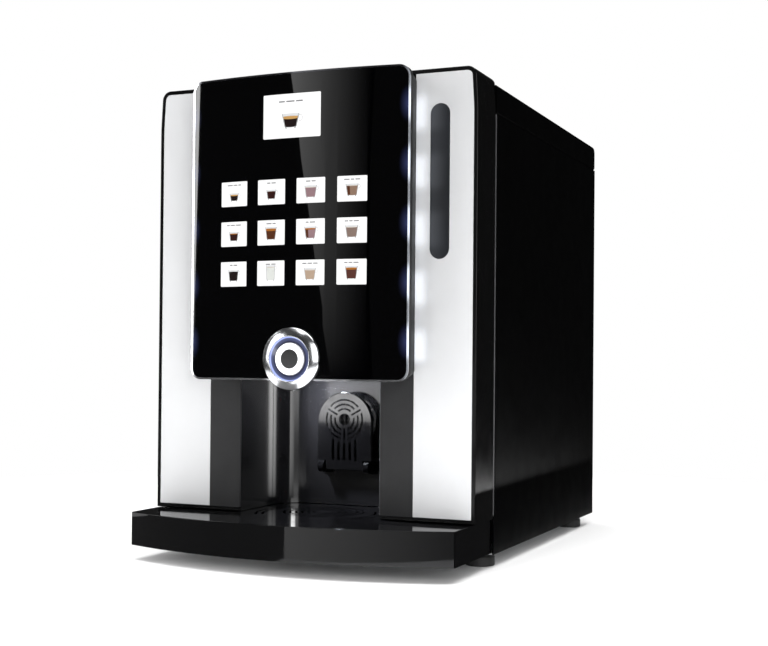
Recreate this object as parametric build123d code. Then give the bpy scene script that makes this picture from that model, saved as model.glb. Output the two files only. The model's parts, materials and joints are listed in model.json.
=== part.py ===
"""Table-top hot coffee vending machine, built as separate named pieces.

Millimetres.  +X to the machine's right as seen by the user, +Y from the user to
the back, +Z up.  The origin is on the table, under the middle of the machine.
"""
from build123d import *
import os
from math import atan2, degrees, sqrt

# --- whole machine -------------------------------------------------------------
WIDTH = 410.0
DEPTH = 600.0
HEIGHT = 560.0
HALF_W = WIDTH / 2
FRONT_Y = -DEPTH / 2
BACK_Y = DEPTH / 2
SHEET = 2.0              # steel sheet of the cabinet
FIT = 0.05               # radial clearance of a running fit

# --- cabinet --------------------------------------------------------------------
CABINET_FRONT_Y = -144.0
CABINET_BOTTOM_Z = 15.6
LID_SEAM_Z = 517.5
LID_BOTTOM_Z = 518.0
LID_TOP_Z = 551.0
REAR_PANEL_Y = 283.0     # the rear panel is set in, so its sockets stay within the depth
REAR_PANEL_TOP_Z = 512.0
FLANGE_WIDTH = 20.0
CHASSIS_Z = (15.4, 17.4)
CHASSIS_TONGUE_HALF_W = 190.0
CHASSIS_TONGUE_Y = -205.0

# --- feet and floor bolts ---------------------------------------------------------
FOOT_X = 182.0
FOOT_Y = (-125.0, 252.0)
FOOT_RADIUS = 17.0
FOOT_HEIGHT = 12.0
FOOT_STUD_RADIUS = 4.0
FOOT_STUD_TOP_Z = 27.0
FOOT_ROUND = 2.5
FOOT_CHAMFER = 1.0
FLOOR_BOLT_X = 150.0
FLOOR_BOLT_Y = (-110.0, 100.0)
FLOOR_BOLT_RADIUS = 3.3

# --- door -------------------------------------------------------------------------
DOOR_FACE_Y = -207.0
DOOR_REAR_Y = -144.5
DOOR_BOTTOM_Z = 56.5
DOOR_CORNER_RADIUS = 11.0
DOOR_TAPER_Z = 514.0     # above this the sides lean in a little
DOOR_TAPER_IN = 2.5
DOOR_TAPER_RADIUS = 300.0
DOOR_WALL = 3.5
DOOR_RIM = 4.5           # rim left showing around the front panels
DOOR_FRONT_WALL = 6.0
DOOR_EDGE = 1.0
FRONT_PANEL_DEPTH = 3.0
PANEL_GAP = 0.2
PANEL_INNER_X = 131.0    # where the light side panels meet the dark columns
PANEL_EDGE = 0.4
COVER_THICKNESS = 3.0
DISPLAY_OPENING = (118.0, 262.0, 540.0)   # half width, bottom and top, behind the display

# --- hinge ------------------------------------------------------------------------
HINGE_X = 202.5
HINGE_Y = -144.25
HINGE_Z = (60.0, 517.0)
KNUCKLE_COUNT = 30
KNUCKLE_RADIUS = 2.5
KNUCKLE_GAP = 0.3
HINGE_PIN_RADIUS = 1.2
LEAF_THICKNESS = 1.0
LEAF_INNER_X = 184.0
LEAF_OUTER_X = 199.6
NOTCH_X = 199.2
DOOR_NOTCH_DEPTH = 3.2
DOOR_RELIEF_X = 202.2    # beyond this the door is cut back so that it can swing past the cabinet
CABINET_NOTCH_DEPTH = 3.3

# --- cup bay ----------------------------------------------------------------------
BAY_HALF_W = 90.0
BAY_BACK_Y = -92.0
BAY_TOP_Z = 235.0
BAY_CORNER_RADIUS = 35.0
BAY_WALL = 2.0
COLUMN_EDGE = 1.2
SPOUT_Y = -165.0
SPOUT_HALF = (30.0, 22.0)         # half width and half depth of the spout's body
SPOUT_DROP = 14.0
SPOUT_CORNER = 9.0
SPOUT_EDGE = 3.0
SPOUT_STUB_HEIGHT = 12.0
NOZZLE_X = 13.0
NOZZLE_RADII = (4.5, 6.5)
NOZZLE_LENGTH = 10.0
NOZZLE_BORE = 2.5
NOZZLE_BORE_Z = (-24.0, -6.0)     # from the bay's ceiling

# --- base and drip tray -----------------------------------------------------------
BASE_HALF_W = 202.5
BASE_TOP_Z = 56.0
BASE_BOTTOM_Z = 17.4
BASE_SIDE_FRONT_Y = -262.0
BASE_BACK_Y = -145.0
BASE_EDGE = 1.2
BASE_WALL = 3.0
TRAY_HALF_W = 87.5
TRAY_Y = (-256.0, -96.0)
TRAY_BACK_RADIUS = 34.0
TRAY_FRONT_RADIUS = 8.0
TRAY_GAP = 0.5
TRAY_WALL = 2.0
GRILLE_THICKNESS = 3.0
GRILLE_RING_RADII = (12.0, 19.0, 26.0, 33.0, 40.0, 47.0)
GRILLE_SLOT = 3.2
GRILLE_BRIDGE = 5.0
THIRDS_DEG = (30, 150, 270)
OUTER_ARC_RADII = (66.0, 74.0)
OUTER_ARC_STARTS_DEG = (145, -35)
OUTER_ARC_SWEEP_DEG = 70
OUTER_ARC_SHIFT = 12.0            # how far their centre lies in front of the spouts
FLOAT_AT = (66.0, -126.0)
FLOAT_RADIUS = 5.0
FLOAT_PLAY = 0.4
FLOAT_WELL_WALL = 2.0
FLOAT_WELL_DROP = 8.0
FLOAT_SUNK = 1.0
FLOAT_ROUND = 2.0

# --- display ----------------------------------------------------------------------
DISPLAY_HALF_W = 138.0
DISPLAY_Z = (212.0, 559.5)
DISPLAY_CORNER_RADIUS = 13.0
DISPLAY_CENTRE_Y = -249.0     # frontmost line of the bowed glass
DISPLAY_BOW_RADIUS = 957.0
BEZEL_LINE = 2.0              # chrome line showing around the glass
BEZEL_WIDTH = 8.0
BEZEL_BACK_Y = -231.0
HOUSING_BACK_Y = -207.2
HOUSING_TAPER_DEG = 13.0
GLASS_THICKNESS = 3.0
INLAY_DEPTH = 1.2
KEY_SIZE = (35.5, 28.5)
KEY_X = (-78.0, -28.0, 22.0, 72.0)
KEY_Z = (333.0, 379.0, 425.0)
KEY_CORNER = 1.0
KEY_PLAY = 0.15
KEY_SUNK = 0.1
SCREEN_SIZE = (73.0, 50.0)
SCREEN_AT = (-3.0, 510.0)
SCREEN_CORNER = 1.2
SCREEN_SUNK = 0.1
SCREEN_BACK_EXTRA = (12.0, 10.0)  # how much wider and taller the screen's board is
SCREEN_BACK_DEPTH = 4.0
SKETCH_AHEAD = 9.0                # how far cutters start in front of the glass
HOUSING_WALL = 3.0
HOUSING_OPENING = (100.0, 270.0, 530.0)   # half width, bottom and top
HOUSING_RAIL_HALF_W = 128.0
HOUSING_RAILS_Z = ((542.0, 552.0), (240.0, 256.0))

# --- start button -----------------------------------------------------------------
BUTTON_Z = 236.2
BUTTON_BEZEL_RADIUS = 35.5
BUTTON_WELL_RADIUS = 25.0
BUTTON_CAP_RADIUS = 18.0
BUTTON_CENTRE_RADIUS = 11.0
BUTTON_STEM_RADIUS = 5.0
BUTTON_HOLE_RADIUS = 21.0
BUTTON_PLAY = 0.4
SLEEVE_RADIUS = 20.5
SLEEVE_DEPTH = 8.0
BEZEL_REAR_Y = -249.4
BEZEL_RIM_Y = -250.2
BEZEL_RIM_IN = 0.8
LIP_ARC = [(25.0, -255.7), (25.3, -256.3), (26.0, -256.5)]      # radius and y along the bezel's profile
FLANK_ARC = [(26.0, -256.5), (30.2, -254.7), (34.0, -252.4)]
SHOULDER_ARC = [(34.0, -252.4), (35.1, -251.5), (35.5, -250.2)]
WELL_FLOOR_Y = -251.0
LIGHT_RING_RISE = (1.6, 2.2)      # height of the light ring at its inner and outer edge
CAP_POCKET_Y = -247.0             # the cap sinks into a pocket in the floor of the well
CAP_BACK_Y = -250.6
CAP_FRONT_Y = -255.0
CAP_DISH = 0.6
CAP_EDGE = 1.0
WASHER_WIDTH = 4.0
WASHER_HEIGHT = 0.8

# --- fold-down cup shelf ------------------------------------------------------------
SHELF_Y = (-112.0, -107.0)
SHELF_PIVOT = (-109.5, 105.0)     # y, z
SHELF_HALF_W = 36.3
SHELF_FOOT_HALF_W = 25.0          # the flap is notched below for its brackets
SHELF_NOTCH_Z = 113.0
SHELF_BOTTOM_Z = 101.0
SHELF_ARCH_Z = 160.0
SHELF_ROSE_Z = 163.0
SHELF_ARC_RADII = (12.8, 18.4, 24.0)
SHELF_SLOT = 1.9
SHELF_HUB_RADIUS = 7.2
SHELF_SPOKE = (11.0, 25.0)        # inner and outer ends of the radial slots
SHELF_BRIDGE = 9.0                # plain strip that each radial slot runs along
SHELF_UPRIGHT_PITCH = 7.6
SHELF_UPRIGHT_WIDTH = 3.0
SHELF_UPRIGHT_BOTTOM_Z = 113.0
SHELF_UPRIGHT_REACH = 29.0        # their tops lie on a circle about the rose
SHELF_EDGE = 0.4
BRACKET_X = (26.5, 34.5)
BRACKET_KNOB_RADIUS = 7.0
BRACKET_KNOB_ROUND = 1.2
BRACKET_ARM_HALF = 5.0
BRACKET_PAD = (3.0, 2.5, 9.0, 7.0)   # overhang at each side, thickness, reach down and up
SHELF_PIN_RADIUS = 2.0
SHELF_PIN_TUCK = 4.0
SHELF_RIM = 2.5
SHELF_SKIN = 3.2
SHELF_ROUND = 0.9

# --- payment window -----------------------------------------------------------------
WINDOW_X = 160.5
WINDOW_WIDTH = 23.5
WINDOW_Z = (348.0, 521.0)

# --- lock ---------------------------------------------------------------------------
LOCK_Y = -168.0
LOCK_Z = 300.0
LOCK_BARREL_RADIUS = 9.0
LOCK_PLUG_RADIUS = 5.5
LOCK_SLOT_X = (-200.6, -195.4)
LOCK_SLOT_Z = (288.0, 336.0)
STRIKE_RADIUS = 1.5
STRIKE_Y = -137.0
HOOK_X = (-199.4, -196.6)
HOOK_REST_DEG = 60.0
HOOK_HALF = 4.5
HOOK_NOSE = 5.0
HOOK_MOUTH_HALF = 2.6
HOOK_MOUTH_TOP = 2.2
HOOK_EYE_RADIUS = 7.5
KEY_SLOT = (3.0, 0.6, 3.2)        # depth, half width and half height

# --- ingredients and brewing --------------------------------------------------------
DECK_Z = (372.0, 375.0)           # deck that the canisters stand on
CANISTER_X = {"milk": -148.0, "chocolate": -50.0}
CANISTER_HALF_W = 46.0
CANISTER_Y = (-132.0, 52.0)
CANISTER_Z = (376.0, 510.0)
AUGER_Z = 393.0
AUGER_COIL_RADIUS = 8.0
AUGER_PITCH = 14.0
AUGER_TURNS = 10
BOWL_Y = -60.0
BOWL_Z = 270.0
BOWL_RADII = (20.0, 34.0)
BOWL_HEIGHT = 50.0
BOWL_WALL = 2.5
BOWL_CONE_Z = 50.0
CHAMBER_AXIS_Z = 22.0             # axis of the whipping chamber, above the bowl's bottom
WHIP_CHAMBER = (20.0, 22.0)       # radius and half length
WHIP_CHAMBER_WALL = 3.0
BOWL_SPOUT = (6.0, 4.0, 10.0)     # radius, bore and height above the bowl's bottom
BOWL_SPOUT_Y = (40.0, 20.0)
WHIPPER_RADIUS = 13.0
WHIPPER_DISC_Y = (8.0, 11.0)
WHIPPER_BLADE = (4.0, 12.0, 2.0, 0.8)   # inner and outer end, reach forward, half thickness
WHIPPER_BLADES = 4
WHIPPER_START_DEG = 20
SHAFT_RADIUS = 4.0
SHAFT_PLAY = 0.3
HOPPER_X = (12.0, 194.0)
HOPPER_Y = (-130.0, 92.0)
HOPPER_Z = (384.0, 512.0)
HOPPER_SLOPE = 45.0
HOPPER_WALL = 3.0
HOPPER_NECK = 50.0
SHUTTER_HALF_W = 28.0
SHUTTER_BACK = 78.0
SHUTTER_THICKNESS = 3.2
SHUTTER_DROP = 3.6
SHUTTER_HOLE = 20.0
SHUTTER_TAB_HALF_W = 14.0
SHUTTER_TAB = (34.0, 38.0)        # how far the tab and its turned-down lip reach forward
SHUTTER_LIP = 4.0
OUTLET_AT = (100.0, -20.0)
DECK_FRONT = 6.0                  # the deck's front edge, ahead of the canisters
DECK_CUT = (17.0, 3.0, 32.0)      # half width, reach forward and reach back at a canister's front
CANISTER_CORNER = 8.0
CANISTER_WALL = 2.5
CANISTER_INSIDE_CORNER = 6.0
CANISTER_STEP = (31.0, 420.0)     # depth and lower level of the cut above the outlet
CANISTER_INSIDE_Y = 34.0
CANISTER_FLOOR_RISE = 6.0
OUTLET_HALF_W = 15.0
OUTLET_DEPTH = 30.0
OUTLET_DROP = 12.0
OUTLET_BORE = 11.0
OUTLET_BORE_Y = 16.0
AUGER_WIRE_RADIUS = 1.6
AUGER_START = 10.0
AUGER_HUB_GROW = 2.0
AUGER_SHAFT_RADIUS = 4.0
AUGER_SHAFT_LENGTH = 5.0
HUB_OVERHANG = 3.0
GRINDER_RADIUS = 44.0
GRINDER_Z = (286.0, 371.5)
GRINDER_ROUND = 5.0
THROAT_RADIUS = 20.0
THROAT_DEPTH = 12.0
BURR_ROOM = (36.0, 26.0, 10.0)    # radius, and how far inside the housing's two ends
BURR_RADIUS = 31.0
BURR_Z = (30.0, 44.0)             # from the bottom of the housing
BURR_CONE = (24.0, 8.0, 12.0)
BURR_SLOTS = 8
BURR_SLOT = (14.0, 32.0, 1.2, 2.0)   # inner and outer end, half width and depth
SHAFT_SEAT_Z = (8.0, 30.0)
BREWER_AT = (100.0, 0.0)
BREWER_Z = (96.0, 272.0)
BREWER_CHEEK_X = (42.0, 48.0)
BREWER_CHEEK_Y = 50.0
CHAMBER_HALF_Y = 34.0
CHAMBER_Z = (72.0, 20.0)          # from the top of the frame
BREWER_BAR = (12.0, 12.0)         # half depth and height of the lower cross bar
PISTON_RADIUS = 21.0
PISTON_Z = (82.0, 60.0)           # from the top of the frame
PISTON_ROD_RADIUS = 6.0
PISTON_ROD_DROP = 8.0
GEARBOX_HALF_W = 34.0
GEARBOX_Y = (50.5, 74.0)
GEARBOX_Z = (120.0, 200.0)
BREWER_MOTOR_RADIUS = 20.0
GEARBOX_SHAFT = (4.0, 41.0, 62.0)    # radius, end in x and place in y
BIN_X = (10.0, 190.0)
BIN_Y = (-70.0, 80.0)
BIN_TOP_Z = 84.0
BIN_CORNER = 8.0
BIN_WALL = 2.5
BIN_GRIP = (70.0, 130.0, 8.0, 4.0)   # ends in x, reach forward and thickness
BOILER_AT = (-120.0, 190.0)
BOILER_RADIUS = 52.0
BOILER_Z = (60.0, 250.0)
BOILER_ROUND = 10.0
BOILER_PORT_X = 20.0
BOILER_PORT_RADIUS = 6.0
BOILER_PORT_HEIGHT = 14.0
BOILER_FOOT = (34.0, 6.0, 12.0)   # place in x, half width and half depth
HOSE_RADIUS = 3.0
HOSE_BEND = 12.0
HOSE_RISES = (30.0, 45.0)         # above the boiler's ports
PUMP_Y = (114.0, 122.0, 140.0, 190.0, 214.0)   # nipple, cap, body front and back, tail
PUMP_HALF_W = 22.0
PUMP_EDGE = 4.0
PUMP_RADII = (4.5, 9.0, 11.0)     # nipple, cap, tail
SUPPLY_X = (40.0, 165.0)
SUPPLY_Y = (150.0, 255.0)
SUPPLY_TOP_Z = 92.0
SUPPLY_RIBS = 7
SUPPLY_RIB_PITCH = 14.0
SUPPLY_MARGIN = 6.0
SUPPLY_GROOVE = 3.0
BOARD_X = (30.0, 180.0)
BOARD_Z = (130.0, 300.0)
BOARD_THICKNESS = 1.6
BOARD_STANDOFF = 6.0
STANDOFF_RADIUS = 2.5
# components on the board: x, z, width, height, depth
BOARD_PARTS = [(50.0, 160.0, 26.0, 18.0, 14.0), (95.0, 200.0, 30.0, 30.0, 3.0),
               (140.0, 150.0, 20.0, 34.0, 16.0), (60.0, 260.0, 36.0, 10.0, 10.0),
               (130.0, 262.0, 40.0, 12.0, 10.0), (150.0, 215.0, 16.0, 16.0, 20.0)]

# --- lid pivot, rear sockets and bulkhead holes -------------------------------------
LID_PIVOT_Y = 296.0
LID_PIVOT_Z = 522.0
LID_REAR_RADIUS = 9.0
LID_EDGE = 1.5
LID_PIN_RADIUS = 2.0
LID_PIN_LENGTH = 9.0
LID_PIN_END = 0.3
EAR_GAP = 1.5
EAR_NOTCH = (6.0, 1.0)            # ahead of the pivot, and above the ear
LID_BOSS = (3.0, 6.0)
EAR_X = 186.0
EAR_RADIUS = 3.5
EAR_HEIGHT = 30.0
VENT_LENGTH = 70.0
VENT_HEIGHT = 4.0
VENT_ROWS = 8
VENT_TOP_Z = 470.0
VENT_PITCH = 10.0
VENT_X = 95.0
VALVE_AT = (-150.0, 55.0)         # x, z
VALVE_RADIUS = 13.0
VALVE_THREAD_Y = 286.0
VALVE_HALF_W = 18.0
VALVE_BODY_Y = (40.0, 8.0)        # ahead of the rear panel
VALVE_BODY_Z = (14.0, 20.0)       # below and above its axis
VALVE_COLLAR_RADIUS = 17.0
VALVE_COIL = (11.0, 42.0, 24.0)   # radius, top above the axis, place ahead of the panel
VALVE_BORE = (9.0, 4.0)
MAINS_AT = (150.0, 55.0)
MAINS_SIZE = (48.0, 27.0)
MAINS_BODY_Y = 22.0
MAINS_BODY_NARROWER = 18.0
MAINS_FLANGE = 5.0
MAINS_SOCKET = (24.0, 17.0, 16.0)
MAINS_CORNERS = (3.0, 4.0)
MAINS_PINS = ((-7.0, 2.0), (7.0, 2.0), (0.0, -3.0))
MAINS_PIN = (1.0, 2.5)            # half width and half height
FITTING_GAP = 0.5
BULKHEAD_Y = 110.0
NECK_RADIUS = 27.0
SPOUT_STUB_RADIUS = 6.0
BULKHEAD_HOLES = [(-148.0, 300.0, 20.0), (-50.0, 300.0, 20.0), (100.0, 330.0, 8.0),
                  (0.0, 240.0, 12.0), (-100.0, 40.0, 12.0)]
PUMP_AT = (0.0, 44.0)
TUNNEL_RADIUS = 11.5
BURR_SHAFT_RADIUS = 5.0
MOTOR_FACE_Y = 40.0
AUGER_MOTOR_GAP = 10.0
AUGER_MOTOR_RADIUS = 16.0
WHIPPER_MOTOR_RADIUS = 18.0
MOTOR_PLATE = (4.0, 3.0, 0.5)     # overhang at each side, thickness, short of the radius below
MOTOR_LENGTH = 42.0
SCREW_X = 194.0
SCREW_Z = (40.0, 170.0, 300.0, 430.0)
SCREW_HEAD = (4.0, 2.4, 1.2)      # radius, height and rounding
SCREW_RECESS = (1.5, 1.0)         # radius, and height above the panel

EXTRA = 1.0              # how far a cutter runs past a face
TUCK = 0.5               # how far one shape runs into the shape that it is joined to


# --- helpers ------------------------------------------------------------------------
def block(x0, x1, y0, y1, z0, z1):
    """A box between six planes."""
    return Pos((x0 + x1) / 2, (y0 + y1) / 2, (z0 + z1) / 2) * Box(x1 - x0, y1 - y0, z1 - z0)


def rod_x(radius, x0, x1, y, z):
    return Pos((x0 + x1) / 2, y, z) * Rot(0, 90, 0) * Cylinder(radius, x1 - x0)


def rod_y(radius, y0, y1, x, z):
    return Pos(x, (y0 + y1) / 2, z) * Rot(90, 0, 0) * Cylinder(radius, y1 - y0)


def rod_z(radius, z0, z1, x, y):
    return Pos(x, y, (z0 + z1) / 2) * Cylinder(radius, z1 - z0)


def slab(sketch, y_front, y_back, taper=0):
    """A sketch drawn as seen from the front (x across, z up), given depth in Y."""
    plane = Plane(origin=(0, y_back, 0), x_dir=(1, 0, 0), z_dir=(0, -1, 0))
    return extrude(plane * sketch, amount=y_back - y_front, taper=taper)


def column(sketch, z0, z1):
    """A plan sketch given height."""
    return extrude(Pos(0, 0, z0) * sketch, amount=z1 - z0)


def mirrored(shape):
    return shape + mirror(shape, about=Plane.YZ)


def save(name, shape):
    shape.label = name
    export_step(shape, f"parts/{name}.step")


# --- cabinet ------------------------------------------------------------------------
def chassis_base():
    """Floor pan, with a tongue in front that carries the base housing."""
    z0, z1 = CHASSIS_Z
    pan = block(-HALF_W + SHEET, HALF_W - SHEET, CABINET_FRONT_Y, REAR_PANEL_Y, z0, z1)
    pan += block(-CHASSIS_TONGUE_HALF_W, CHASSIS_TONGUE_HALF_W, CHASSIS_TONGUE_Y,
                 CABINET_FRONT_Y, z0, z1)
    for x in (-FLOOR_BOLT_X, FLOOR_BOLT_X):
        for y in FLOOR_BOLT_Y:
            pan -= rod_z(FLOOR_BOLT_RADIUS, z0 - EXTRA, z1 + EXTRA, x, y)
    for x in (-FOOT_X, FOOT_X):
        for y in FOOT_Y:
            pan -= rod_z(FOOT_STUD_RADIUS + PANEL_GAP, z0 - EXTRA, z1 + EXTRA, x, y)
    return pan


def side_panel(sign):
    """One side of the cabinet: a sheet with a front flange that the door closes on."""
    outer = HALF_W
    inner = HALF_W - SHEET
    panel = block(inner, outer, CABINET_FRONT_Y, BACK_Y, CABINET_BOTTOM_Z, LID_SEAM_Z)
    panel += block(inner - FLANGE_WIDTH, inner, CABINET_FRONT_Y, CABINET_FRONT_Y + SHEET,
                   BASE_TOP_Z + EXTRA, LID_SEAM_Z)
    if sign > 0:
        z0, z1 = HINGE_Z
        notch_back = CABINET_FRONT_Y + CABINET_NOTCH_DEPTH
        panel -= block(NOTCH_X, outer + EXTRA, CABINET_FRONT_Y - EXTRA, notch_back,
                       z0 - EXTRA, LID_SEAM_Z + EXTRA)
        panel -= block(LEAF_INNER_X, NOTCH_X + EXTRA, CABINET_FRONT_Y - EXTRA,
                       CABINET_FRONT_Y + LEAF_THICKNESS, z0, z1)
        return panel
    panel = mirror(panel, about=Plane.YZ)
    panel -= block(*LOCK_SLOT_X, CABINET_FRONT_Y - EXTRA, CABINET_FRONT_Y + SHEET + EXTRA,
                   *LOCK_SLOT_Z)
    panel += rod_x(STRIKE_RADIUS, -HALF_W + SHEET, LOCK_SLOT_X[1], STRIKE_Y, LOCK_Z)
    return panel


def rear_panel():
    """Rear sheet with vents, openings for the sockets, and the lid's two hinge ears."""
    y0, y1 = REAR_PANEL_Y, REAR_PANEL_Y + SHEET
    panel = block(-HALF_W + SHEET, HALF_W - SHEET, y0, y1, CABINET_BOTTOM_Z, REAR_PANEL_TOP_Z)
    vent = SlotOverall(VENT_LENGTH, VENT_HEIGHT)
    for row in range(VENT_ROWS):
        z = VENT_TOP_Z - row * VENT_PITCH
        for x in (-VENT_X, VENT_X):
            panel -= slab(Pos(x, z) * vent, y0 - EXTRA, y1 + EXTRA)
    panel -= rod_y(VALVE_RADIUS + FITTING_GAP, y0 - EXTRA, y1 + EXTRA, *VALVE_AT)
    panel -= slab(Pos(*MAINS_AT) * Rectangle(MAINS_SIZE[0] + 2 * FITTING_GAP,
                                             MAINS_SIZE[1] + 2 * FITTING_GAP), y0 - EXTRA, y1 + EXTRA)
    ear = block(EAR_X, EAR_X + SHEET, y0, LID_PIVOT_Y, REAR_PANEL_TOP_Z - EAR_HEIGHT, LID_PIVOT_Z)
    ear += rod_x(EAR_RADIUS, EAR_X, EAR_X + SHEET, LID_PIVOT_Y, LID_PIVOT_Z)
    ear += rod_x(LID_PIN_RADIUS, EAR_X, EAR_X + LID_PIN_LENGTH, LID_PIVOT_Y, LID_PIVOT_Z)
    return panel + mirrored(ear)


def top_lid():
    """Pressed top cover with a skirt; its rear lower edge rounds the pivot, notched for the ears."""
    shell = block(-HALF_W, HALF_W, CABINET_FRONT_Y, BACK_Y, LID_BOTTOM_Z, LID_TOP_Z)
    along_x = shell.edges().filter_by(Axis.X).group_by(Axis.Y)[-1]
    shell = fillet(along_x.sort_by(Axis.Z)[-1], LID_REAR_RADIUS)
    along_x = shell.edges().filter_by(Axis.X).group_by(Axis.Z)[0]
    shell = fillet(along_x.sort_by(Axis.Y)[-1], LID_PIVOT_Z - LID_BOTTOM_Z)
    sides = shell.edges().filter_by(Axis.Y).group_by(Axis.Z)[-1]
    shell = chamfer(sides, LID_EDGE)
    shell -= block(-HALF_W + SHEET, HALF_W - SHEET, CABINET_FRONT_Y + SHEET, BACK_Y - SHEET,
                   LID_BOTTOM_Z - EXTRA, LID_TOP_Z - SHEET)
    ahead, above = EAR_NOTCH
    shell -= mirrored(block(EAR_X - EAR_GAP, EAR_X + SHEET + EAR_GAP, LID_PIVOT_Y - ahead, BACK_Y + EXTRA,
                            LID_BOTTOM_Z - EXTRA, LID_PIVOT_Z + EAR_RADIUS + above))
    below, above = LID_BOSS
    boss = block(EAR_X + SHEET + EAR_GAP, HALF_W - SHEET, LID_PIVOT_Y - below, BACK_Y - SHEET,
                 LID_PIVOT_Z - below, LID_PIVOT_Z + above)
    boss -= rod_x(LID_PIN_RADIUS + FIT, EAR_X, EAR_X + LID_PIN_LENGTH + LID_PIN_END, LID_PIVOT_Y, LID_PIVOT_Z)
    return shell + mirrored(boss)


def levelling_feet():
    """Four screw feet, each a moulded disc on its stud."""
    foot = None
    for x in (-FOOT_X, FOOT_X):
        for y in FOOT_Y:
            disc = rod_z(FOOT_RADIUS, 0, FOOT_HEIGHT, x, y)
            disc = fillet(disc.edges().group_by(Axis.Z)[-1], FOOT_ROUND)
            disc = chamfer(disc.edges().group_by(Axis.Z)[0], FOOT_CHAMFER)
            disc += rod_z(FOOT_RADIUS / 2, FOOT_HEIGHT, CHASSIS_Z[0], x, y)
            disc += rod_z(FOOT_STUD_RADIUS, CHASSIS_Z[0], FOOT_STUD_TOP_Z, x, y)
            foot = disc if foot is None else foot + disc
    return foot


def bulkhead():
    """Inner wall between the ingredients in front and the water parts behind."""
    y0, y1 = BULKHEAD_Y, BULKHEAD_Y + SHEET
    wall = block(-HALF_W + SHEET, HALF_W - SHEET, y0, y1, CHASSIS_Z[1], DECK_Z[0])
    for x, z, radius in BULKHEAD_HOLES:
        wall -= rod_y(radius, y0 - EXTRA, y1 + EXTRA, x, z)
    return wall


def canister_deck():
    """Deck under the canisters and the bean hopper."""
    z0, z1 = DECK_Z
    deck = block(-HALF_W + SHEET, HALF_W - SHEET, CANISTER_Y[0] - DECK_FRONT, BULKHEAD_Y + SHEET,
                 z0, z1)
    half, forward, back = DECK_CUT
    for x in CANISTER_X.values():
        deck -= block(x - half, x + half, CANISTER_Y[0] - forward, CANISTER_Y[0] + back,
                      z0 - EXTRA, z1 + EXTRA)
    deck -= rod_z(NECK_RADIUS + 1, z0 - EXTRA, z1 + EXTRA, *OUTLET_AT)
    return deck


# --- hinge --------------------------------------------------------------------------
def hinge_leaf(first, y0, y1):
    """One leaf of the piano hinge with every second knuckle, starting at `first`."""
    z_low, z_high = HINGE_Z
    pitch = (z_high - z_low) / KNUCKLE_COUNT
    leaf = block(LEAF_INNER_X + PANEL_GAP, LEAF_OUTER_X, y0, y1, z_low + PANEL_GAP, z_high - PANEL_GAP)
    for index in range(first, KNUCKLE_COUNT, 2):
        z0 = z_low + index * pitch + KNUCKLE_GAP / 2
        z1 = z0 + pitch - KNUCKLE_GAP
        leaf += block(LEAF_OUTER_X - EXTRA, HINGE_X, y0, y1, z0, z1)
        leaf += rod_z(KNUCKLE_RADIUS, z0, z1, HINGE_X, HINGE_Y)
    leaf -= rod_z(HINGE_PIN_RADIUS + FIT, z_low - EXTRA, z_high + EXTRA, HINGE_X, HINGE_Y)
    return leaf


def hinge_pin():
    return rod_z(HINGE_PIN_RADIUS, *HINGE_Z, HINGE_X, HINGE_Y)


# --- base and drip tray ---------------------------------------------------------------
def base_plan(inset):
    """Plan of the base: straight sides, and a front bowed towards the user."""
    x = BASE_HALF_W - inset
    side_y = BASE_SIDE_FRONT_Y + inset
    front_y = FRONT_Y + inset
    back_y = BASE_BACK_Y - inset
    front = ThreePointArc((-x, side_y), (0, front_y), (x, side_y))
    rest = Polyline((x, side_y), (x, back_y), (-x, back_y), (-x, side_y))
    return make_face(front + rest)


def tray_plan(inset):
    """Plan of the tray opening, rounded at the back like the bay above it."""
    y0, y1 = TRAY_Y
    width = 2 * (TRAY_HALF_W - inset)
    plan = Pos(0, (y0 + y1) / 2) * Rectangle(width, y1 - y0 - 2 * inset)
    plan = fillet(plan.vertices().group_by(Axis.Y)[-1], TRAY_BACK_RADIUS - inset)
    return fillet(plan.vertices().group_by(Axis.Y)[0], TRAY_FRONT_RADIUS)


def base_housing():
    """Hollow bow-fronted base, open above the drip tray."""
    body = column(base_plan(0), BASE_BOTTOM_Z, BASE_TOP_Z)
    corners = body.edges().filter_by(Axis.Z).group_by(Axis.Y)[0]
    body = fillet(corners, BASE_EDGE)
    top_edges = body.edges().group_by(Axis.Z)[-1]
    body = fillet([e for e in top_edges if e.center().Y < BASE_BACK_Y - 1], BASE_EDGE / 2)
    body -= column(base_plan(BASE_WALL), BASE_BOTTOM_Z + BASE_WALL, BASE_TOP_Z - BASE_WALL)
    body -= column(tray_plan(0), BASE_BOTTOM_Z + BASE_WALL, BASE_TOP_Z + EXTRA)
    return body


def drip_tray():
    """Deep pan under the grille."""
    floor_z = BASE_BOTTOM_Z + BASE_WALL
    top_z = BASE_TOP_Z - GRILLE_THICKNESS
    pan = column(tray_plan(TRAY_GAP), floor_z, top_z)
    pan -= column(tray_plan(TRAY_GAP + TRAY_WALL), floor_z + TRAY_WALL, top_z + EXTRA)
    well_radius = FLOAT_RADIUS + FLOAT_PLAY
    post = rod_z(well_radius + FLOAT_WELL_WALL, floor_z, top_z - FLOAT_WELL_DROP, *FLOAT_AT)
    post -= rod_z(well_radius, floor_z + TRAY_WALL, top_z, *FLOAT_AT)
    return pan + post


def arc_slot(radius, width, start, sweep_deg, height, centre, z0):
    """A curved slot of constant width with square ends, as a cutter standing on z0."""
    ring = Circle(radius + width / 2) - Circle(radius - width / 2)
    far = 3 * radius
    wedge = make_face(Polyline((0, 0), polar(far, start), polar(far, start + sweep_deg / 2),
                               polar(far, start + sweep_deg), (0, 0)))
    return Pos(centre[0], centre[1], 0) * column(ring & wedge, z0, z0 + height)


def polar(radius, angle):
    point = Vector(radius, 0, 0).rotate(Axis.Z, angle)
    return (point.X, point.Y)


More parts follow.
